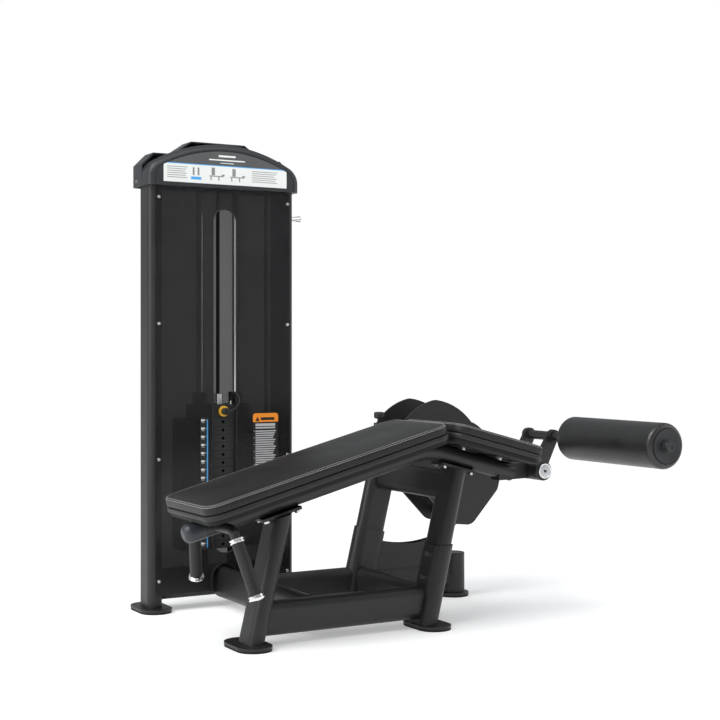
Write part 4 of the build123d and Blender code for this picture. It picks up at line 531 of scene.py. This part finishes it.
def stitches(name, obj, length, rows, pitch=0.0082, long=0.0060, thick=0.00075):
    """Rows of sewn stitches lying on a cushion; each row is inset and height on the nominal edge."""
    tree = BVHTree.FromObject(obj, bpy.context.evaluated_depsgraph_get())
    place = slope(name)
    turn = place.to_3x3()
    verts, faces = [], []
    shape = [(-0.5, 0.35), (-0.36, 0.9), (0.0, 1.0), (0.36, 0.9), (0.5, 0.35)]
    around = 6
    for inset, z in rows:
        for spot, ahead in along_outline(length, inset, pitch):
            guess = place @ Vector((spot.x, spot.y, z))
            near, normal, _, _ = tree.find_nearest(guess)
            forward = (turn @ Vector((ahead.x, ahead.y, 0))).normalized()
            across = normal.cross(forward).normalized()
            base = len(verts)
            for share, wide in shape:
                dip = -0.35 * thick if abs(share) > 0.4 else 0.25 * thick
                centre = near + forward * (share * long) + normal * dip
                for k in range(around):
                    a = 2 * math.pi * k / around
                    verts.append(centre + (across * math.cos(a) + normal * math.sin(a)) * thick * wide)
            for row in range(len(shape) - 1):
                for k in range(around):
                    after = (k + 1) % around
                    faces.append((base + row * around + k, base + row * around + after,
                                  base + (row + 1) * around + after, base + (row + 1) * around + k))
            faces.append(tuple(base + k for k in range(around)))
            faces.append(tuple(base + 4 * around + k for k in range(around)))
    return piece(name + "_stitching", verts, faces, M["stitch"], sharp=80)


def seam(name, obj, length, inset, z, label, radius=0.0009):
    """A thin sewn seam between the stitch rows, lying on the cushion."""
    tree = BVHTree.FromObject(obj, bpy.context.evaluated_depsgraph_get())
    place = slope(name)
    points = []
    for spot, _ in along_outline(length, inset, 0.008):
        near, normal, _, _ = tree.find_nearest(place @ Vector((spot.x, spot.y, z)))
        points.append(near - normal * radius * 0.3)
    return wire(name + label, points, radius, M["trim"])


for pad, pad_long in PAD_LONG.items():
    top = cushion(pad, pad_long)
    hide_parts(pad)
    stitches(pad, top, pad_long, STITCH_ROWS)
    seam(pad, top, pad_long, SEAM_INSET, -SEAM_INSET, "_edge_seam")
    bottom = -FOAM + 0.0004
    upper = -TOP_CUSHION - 0.0008
    band_rows = [(0.0040, bottom), (0.0014, bottom + 0.0006), (0.0, bottom + 0.0026), (0.0, upper - 0.0026),
                 (0.0014, upper - 0.0006), (0.0040, upper)]
    band_verts, band_faces = stack_rings(pad_long, band_rows, 14)
    band = piece(pad + "_lower_band", band_verts, band_faces, M["band"], ride=False)
    band.data.transform(slope(pad))
    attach(band, "root")

# ================================================================ roller
roll_low, roll_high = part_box("roller_foam")
ROLL = (Vector(roll_low) + Vector(roll_high)) / 2
ROLL_HALF = 0.236
ROLL_R = 0.074
ROLL_FROM = Vector((ROLL.x, -ROLL_HALF, ROLL.z))
foam_profile = [(0.010, 0.0560), (0.0035, 0.0562), (0.0012, 0.0572), (0.0, 0.0592)]
foam_profile += [(0.015 * (1 - math.cos(math.radians(t))), 0.0592 + 0.0148 * math.sin(math.radians(t)))
                 for t in range(10, 91, 10)]
foam_side = [(0.03 + (2 * ROLL_HALF - 0.06) * k / 24, ROLL_R - 0.0002 * (k % 2)) for k in range(25)]
mirror = [(2 * ROLL_HALF - along, radius) for along, radius in reversed(foam_profile)]
foam = lathe("roller_foam_skin", foam_profile + foam_side + mirror, ROLL_FROM, (0, 1, 0), M["roller"],
             "roller", 96)
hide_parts("roller_foam")
for end, way in ((-ROLL_HALF, -1), (ROLL_HALF, 1)):
    face = Vector((ROLL.x, end, ROLL.z))
    ring = [(-0.001, 0.0545), (0.0008, 0.0545), (0.0016, 0.0525), (0.0010, 0.0500), (0.0004, 0.0300),
            (0.0002, 0.0285), (-0.0015, 0.0280), (-0.0030, 0.0272), (-0.0030, 0.0225)]
    label = "near" if way < 0 else "far"
    plate = lathe(f"roller_end_dish_{label}", ring, face, (0, way, 0), M["hard"], "roller", 72)
knob = [(-0.006, 0.0208), (0.004, 0.0208), (0.0048, 0.0198), (0.0052, 0.0186), (0.0150, 0.0182),
        (0.0176, 0.0172), (0.0192, 0.0150), (0.0192, 0.0118), (0.0182, 0.0104), (0.0176, 0.0060), (0.0176, 0.0010)]
end_knob = lathe("roller_hub_knob", knob, (ROLL.x, -ROLL_HALF, ROLL.z), (0, -1, 0), M["hard"], "lever", 48)
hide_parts("roller_end_knob")

# ================================================================ knee pivot cap
PIVOT = Vector((0.987, -0.0805, 0.462))
rim = [(-0.0040, 0.0236), (0.0006, 0.0236), (0.0013, 0.0228), (0.0013, 0.0205), (0.0006, 0.0198), (-0.0040, 0.0198)]
lathe("pivot_cap_rim", rim, PIVOT, (0, -1, 0), M["chrome"], "lever", 64, loop=True)
disc = [(-0.0030, 0.0198), (0.0003, 0.0198), (0.0005, 0.0190), (0.0005, 0.0090), (0.0010, 0.0084),
        (0.0010, 0.0056), (-0.0030, 0.0052)]
lathe("pivot_cap_face", disc, PIVOT, (0, -1, 0), M["brushed"], "lever", 64, loop=True)
plug = [(-0.0030, 0.0050), (-0.0010, 0.0050), (-0.0010, 0.0004)]
lathe("pivot_cap_bore", plug, PIVOT, (0, -1, 0), M["dark"], "lever", 32)

# ================================================================ handles
beam_height = (HIP.z - 0.090 / math.cos(TILT)) - (HIP.x - BEAM_HANDLE_X) * math.tan(TILT)
for side, label in ((-1, "near"), (1, "far")):
    end = Vector((-0.072, side * 0.200, 0.185))
    corner = Vector((BEAM_HANDLE_X, side * 0.134, beam_height))
    back = (corner - end).normalized()
    grip_profile = [(0.001, 0.0148), (0.001, 0.0168), (0.003, 0.0178), (0.006, 0.0180), (0.009, 0.0175)]
    grip_profile += [(0.012 + 0.124 * k / 12, 0.0175 + 0.0003 * math.sin(math.pi * k / 12)) for k in range(13)]
    grip_profile += [(0.139, 0.0175), (0.142, 0.0180), (0.145, 0.0178), (0.147, 0.0168), (0.147, 0.0148)]
    grip = lathe(f"handle_grip_{label}", grip_profile, end, back, M["grip"], "root", 48, loop=True)
    if side < 0:
        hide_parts("handle_grips")
    collar = [(0.1480, 0.0146), (0.1480, 0.0200), (0.1492, 0.0214), (0.1508, 0.0215), (0.1520, 0.0200),
              (0.1532, 0.0187), (0.1550, 0.0187), (0.1562, 0.0202), (0.1576, 0.0215), (0.1592, 0.0213),
              (0.1600, 0.0200), (0.1600, 0.0146)]
    lathe(f"handle_collar_{label}", collar, end, back, M["chrome"], "root", 56, loop=True)
    cap = [(0.0005, 0.0160), (0.0005, 0.0196), (-0.0006, 0.0212), (-0.0024, 0.0214), (-0.0036, 0.0198),
           (-0.0050, 0.0190), (-0.0062, 0.0200), (-0.0074, 0.0222), (-0.0092, 0.0225), (-0.0114, 0.0214),
           (-0.0132, 0.0182), (-0.0148, 0.0130), (-0.0157, 0.0070), (-0.0160, 0.0012)]
    end_cap = lathe(f"handle_end_cap_{label}", cap, end, back, M["chrome"], "root", 56)
    if side < 0:
        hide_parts("handle_trim")

# ================================================================ selector pin
PIN = Vector((0.2065, 0.624, 0.63925))
collar = [(0.0006, 0.0049), (0.0006, 0.0164), (0.0016, 0.0174), (0.0068, 0.0175), (0.0082, 0.0166),
          (0.0088, 0.0150), (0.0088, 0.0049)]
pin_ring = lathe("selector_collar", collar, PIN, (0, -1, 0), M["yellow"], "selector_pin_body", 56, loop=True)
head = [(0.0088, 0.0110), (0.0105, 0.0098), (0.0130, 0.0098), (0.0150, 0.0112), (0.0205, 0.0119),
        (0.0245, 0.0117), (0.0262, 0.0104), (0.0269, 0.0080), (0.0270, 0.0020)]
pin_head = lathe("selector_knob", head, PIN, (0, -1, 0), M["hard"], "selector_pin_body", 48)
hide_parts("pin_knob")

# ================================================================ lifting belt
belt_low, belt_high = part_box("belt_lift_run")
x0, y0, z0 = belt_low
x1, y1, z1 = belt_high
section = [(x0, y0 + 0.0008), (x0 + 0.0008, y0), (x1 - 0.0008, y0), (x1, y0 + 0.0008),
           (x1, y1 - 0.0008), (x1 - 0.0008, y1), (x0 + 0.0008, y1), (x0, y1 - 0.0008)]
levels = 60
belt_verts = [(x, y, z0 + (z1 - z0) * k / levels) for k in range(levels + 1) for x, y in section]
belt_faces = [(k * 8 + i, k * 8 + (i + 1) % 8, (k + 1) * 8 + (i + 1) % 8, (k + 1) * 8 + i)
              for k in range(levels) for i in range(8)]
belt_faces += [tuple(range(8)), tuple(range(levels * 8, levels * 8 + 8))]
strap = piece("lifting_belt", belt_verts, belt_faces, M["belt"])
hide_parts("belt_lift_run")
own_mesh(strap)

# ================================================================ accessory peg
peg_low, peg_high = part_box("accessory_peg")
peg_long = peg_high[0] - peg_low[0]
peg_at = (peg_low[0], (peg_low[1] + peg_high[1]) / 2, (peg_low[2] + peg_high[2]) / 2)
peg_profile = [(0.0, 0.0070), (0.004, 0.0072), (peg_long * 0.5, 0.0086), (peg_long - 0.010, 0.0108),
               (peg_long - 0.004, 0.0120), (peg_long - 0.0012, 0.0119), (peg_long, 0.0108), (peg_long, 0.0010)]
peg = lathe("accessory_peg_cone", peg_profile, peg_at, (1, 0, 0), M["chrome"], "root", 56)
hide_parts("accessory_peg")

# ================================================================ header
HEADER_LOW = 1.368
HEADER_TOP = 1.512
HEADER_SIDE = 1.397
HEADER_R = 0.060


def through(p, q, r, steps):
    """Points on the circle arc from p through q to r."""
    (ax, ay), (bx, by), (cx, cy) = p, q, r
    d = 2 * (ax * (by - cy) + bx * (cy - ay) + cx * (ay - by))
    ux = ((ax * ax + ay * ay) * (by - cy) + (bx * bx + by * by) * (cy - ay) + (cx * cx + cy * cy) * (ay - by)) / d
    uy = ((ax * ax + ay * ay) * (cx - bx) + (bx * bx + by * by) * (ax - cx) + (cx * cx + cy * cy) * (bx - ax)) / d
    radius = math.hypot(ax - ux, ay - uy)
    start = math.atan2(ay - uy, ax - ux)
    middle = math.atan2(by - uy, bx - ux)
    end = math.atan2(cy - uy, cx - ux)
    full = 2 * math.pi
    way = (end - start) % full
    if (middle - start) % full > way:
        way -= full
    return [(ux + radius * math.cos(start + way * k / steps), uy + radius * math.sin(start + way * k / steps))
            for k in range(steps + 1)]


def header_outline(inset):
    """The header front's arched outline, pulled in by inset at its sides and top."""
    half = HEADER_HALF - inset
    r = HEADER_R - inset
    knee = (half - r * (1 - math.cos(math.radians(30))), HEADER_SIDE + r * math.sin(math.radians(30)))
    shoulder = (half - r * (1 - math.cos(math.radians(60))), HEADER_SIDE + r * math.sin(math.radians(60)))
    right = through((half, HEADER_SIDE), knee, shoulder, 10)
    crown = through(shoulder, (0, HEADER_TOP - inset), (-shoulder[0], shoulder[1]), 40)
    left = [(-x, z) for x, z in reversed(right)]
    points = [(half, HEADER_LOW)] + right + crown[1:-1] + left + [(-half, HEADER_LOW)]
    return [(TOWER_X + x, z) for x, z in points]


def shell(name, rows, mat):
    """An open-backed arched shell from outlines; each row is inset, y."""
    rings = [[(x, y, z) for x, z in header_outline(inset)] for inset, y in rows]
    count = len(rings[0])
    verts = [v for ring in rings for v in ring]
    faces = []
    for row in range(len(rings) - 1):
        for k in range(count - 1):
            faces.append((row * count + k, row * count + k + 1,
                          (row + 1) * count + k + 1, (row + 1) * count + k))
        faces.append((row * count + count - 1, row * count, (row + 1) * count, (row + 1) * count + count - 1))
    faces.append(tuple(range((len(rings) - 1) * count, len(rings) * count)))
    obj = piece(name, verts, faces, mat, ride=False, sharp=50)
    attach(obj, "root")
    return obj


EDGE = 0.020               # rounding of the header's front edge
HEADER_JOINT_Y = 0.664
front_rows = [(0.0, HEADER_JOINT_Y - 0.0004), (0.0, HEADER_Y + EDGE)]
front_rows += [(EDGE * (1 - math.cos(math.radians(t))), HEADER_Y + EDGE * (1 - math.sin(math.radians(t))))
               for t in range(10, 91, 10)]
front_rows += [(0.0206, HEADER_Y + 0.0001), (0.0214, HEADER_Y + 0.0016), (0.0228, HEADER_Y + 0.0016),
               (0.0238, HEADER_Y + 0.0001)]
front_shell = shell("header_front_shell", front_rows, M["header"])
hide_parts("header_front")
# A dark bead along the joint of the header's front and rear shells: painted shade standing in for the shadow in the
# gap between them.
joint_line = [(x, HEADER_JOINT_Y, z) for x, z in header_outline(0.0004)]
wire("header_joint_gap_painted_shade", joint_line, 0.0011, M["trim"])

# ---- placard, from the arch's own outline
ARCH_HALF = 0.2195
ARCH_LOW = 1.380
ARCH_SIDE = 1.434
ARCH_TOP = 1.487
SPLIT = 1.4400
arch = through((TOWER_X + ARCH_HALF, ARCH_SIDE), (TOWER_X, ARCH_TOP), (TOWER_X - ARCH_HALF, ARCH_SIDE), 60)
upper_arch = [p for p in arch if p[1] >= SPLIT]
lower_right = [p for p in arch if p[1] < SPLIT and p[0] > TOWER_X]
lower_left = [p for p in arch if p[1] < SPLIT and p[0] < TOWER_X]
edge_x = upper_arch[0][0]
PLACARD_THICK = 0.0010
slate = decal("placard_arch", upper_arch, HEADER_Y, M["slate"], PLACARD_THICK)
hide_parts("placards")
band_outline = ([(TOWER_X - ARCH_HALF, ARCH_LOW), (TOWER_X + ARCH_HALF, ARCH_LOW)] + lower_right
                + [(edge_x, SPLIT - 0.0002), (2 * TOWER_X - edge_x, SPLIT - 0.0002)] + lower_left)
decal("placard_band", band_outline, HEADER_Y, M["paper"], PLACARD_THICK)
bars("placard_line", [(2 * TOWER_X - edge_x - 0.002, edge_x + 0.002, SPLIT - 0.0012, SPLIT + 0.0014)],
             HEADER_Y - PLACARD_THICK, M["blue"])
INK_Y = HEADER_Y - PLACARD_THICK


def text_lines(x_start, x_end, z_top, count, pitch, tall, ragged=5):
    """Plain bars where a label has lines of print."""
    boxes = []
    for row in range(count):
        short = (row * 37 % ragged) / ragged * 0.16
        z = z_top - row * pitch
        boxes.append((x_start, x_end - (x_end - x_start) * short, z - tall, z))
    return boxes


left_edge = TOWER_X - ARCH_HALF
lines = text_lines(left_edge + 0.012, left_edge + 0.082, 1.4300, 6, 0.0068, 0.0020)
lines += text_lines(left_edge + 0.312, left_edge + 0.404, 1.4300, 6, 0.0068, 0.0020)
bars("placard_lines", lines, INK_Y, M["ink"])
title = [(TOWER_X - 0.028, TOWER_X + 0.032, 1.4690, 1.4750), (TOWER_X - 0.062, TOWER_X + 0.066, 1.4570, 1.4610),
         (TOWER_X - 0.022, TOWER_X + 0.026, 1.4485, 1.4505)]
bars("placard_title", title, INK_Y, M["paper"])
block = [(left_edge + 0.094, left_edge + 0.130, 1.3910, 1.4000)]
bars("placard_block", block, INK_Y, M["blue"])
symbols = []
for start in (0.158, 0.232):
    base_x = left_edge + start
    symbols += [(base_x + 0.008, base_x + 0.020, 1.4080, 1.4330), (base_x, base_x + 0.050, 1.4040, 1.4070),
                (base_x + 0.004, base_x + 0.008, 1.3920, 1.4040), (base_x + 0.032, base_x + 0.036, 1.3920, 1.4040),
                (base_x + 0.044, base_x + 0.054, 1.4070, 1.4120)]
bars("placard_symbols", symbols, INK_Y, M["ink"])
figures = []
for start in (0.100, 0.117):
    figures += [(left_edge + start, left_edge + start + 0.006, 1.4050, 1.4300)]
bars("placard_marks", figures, INK_Y, M["ink"])

# ---- weight strip on the panel
STRIP_X = 0.1335
STRIP_TOP = 0.612
LABEL_THICK = 0.0007
LABEL_FACE = PANEL_Y - LABEL_THICK
PLATE_PITCH = 0.0267
strip = [(STRIP_X + x, 0.406 + z) for x, z in rounded(0.028, 0.432, 0.0138)]
decal("weight_strip", strip, PANEL_Y, M["dark"], LABEL_THICK)
strip_line = [(STRIP_X + 0.0090, STRIP_X + 0.0127, 0.198, 0.614)]
bars("weight_strip_line", strip_line, LABEL_FACE, M["blue"])
ticks, small_ticks = [], []
for k in range(16):
    z = STRIP_TOP - PLATE_PITCH * k
    ticks.append((STRIP_X - 0.0110, STRIP_X - 0.0052, z - 0.0032, z + 0.0032))
    ticks.append((STRIP_X - 0.0042, STRIP_X + 0.0002, z - 0.0030, z + 0.0030))
    small_ticks.append((STRIP_X + 0.0018, STRIP_X + 0.0084, z - 0.0006, z + 0.0006))
    small_ticks.append((STRIP_X - 0.0096, STRIP_X + 0.0002, z - 0.0078, z - 0.0062))
bars("weight_strip_ticks", ticks, LABEL_FACE, M["paper"])
bars("weight_strip_marks", small_ticks, LABEL_FACE, M["pale_ink"])

# ---- notice on the panel
NOTICE_X = 0.3545
NOTICE_HALF = 0.0465
NOTICE_TOP = 0.630
notice = [(NOTICE_X + x, 0.465 + z) for x, z in rounded(2 * NOTICE_HALF, 0.330, 0.010)]
decal("notice_back", notice, PANEL_Y, M["dark"], LABEL_THICK)
heading = [(NOTICE_X - NOTICE_HALF, NOTICE_TOP - 0.029), (NOTICE_X + NOTICE_HALF, NOTICE_TOP - 0.029)]
heading += arc(NOTICE_X + NOTICE_HALF - 0.010, NOTICE_TOP - 0.010, 0.010, 0, 90, 8)
heading += arc(NOTICE_X - NOTICE_HALF + 0.010, NOTICE_TOP - 0.010, 0.010, 90, 180, 8)
decal("notice_heading", heading, LABEL_FACE, M["orange"], 0.0003)
triangle = [(0.3165, 0.6045), (0.3325, 0.6045), (0.3245, 0.6185)]
decal("notice_triangle", triangle, PANEL_Y - 0.0010, M["dark"])
bars("notice_title", [(0.3370, 0.3870, 0.6070, 0.6160)], PANEL_Y - 0.0010, M["dark"])
body_lines = [(0.3175, 0.3900, 0.5870, 0.5960), (0.3175, 0.3900, 0.5790, 0.5840)]
body_lines += text_lines(0.3175, 0.3925, 0.5730, 35, 0.0074, 0.0044, 7)
dots = [(0.3115, 0.3140, 0.5700 - 0.0222 * k, 0.5725 - 0.0222 * k) for k in range(12)]
bars("notice_lines", body_lines + dots, LABEL_FACE, M["pale_ink"])

# ================================================================ trims round the panel's openings
slot_path = [(TOWER_X + x, PANEL_Y + 0.0005, 0.738 + z) for x, z in rounded(0.086, 1.128, 0.0429, 20)]
wire("slot_trim", slot_path, 0.0030, M["trim"])
notch = arc(TOWER_X, 0.097, 0.045, 0, 180, 24)
notch = [(TOWER_X + 0.045, 0.057)] + notch + [(TOWER_X - 0.045, 0.057)]
notch_path = [(x, PANEL_Y + 0.001, z) for x, z in notch]
wire("notch_trim", notch_path, 0.0024, M["trim"], closed=False)

# ================================================================ floor
bpy.ops.mesh.primitive_plane_add(size=60, location=(0, 0, 0))
floor = bpy.context.active_object
floor.name = "floor"
pale_floor = finish("pale_floor", (0.86, 0.86, 0.86), 0.8, grain=3, bump=0.0, vary=0.0, specular=0.1)
floor_shader = pale_floor.node_tree.nodes["Principled BSDF"]
floor_shader.inputs["Emission Color"].default_value = (1, 1, 1, 1)
floor_shader.inputs["Emission Strength"].default_value = 0.30
floor.data.materials.append(pale_floor)
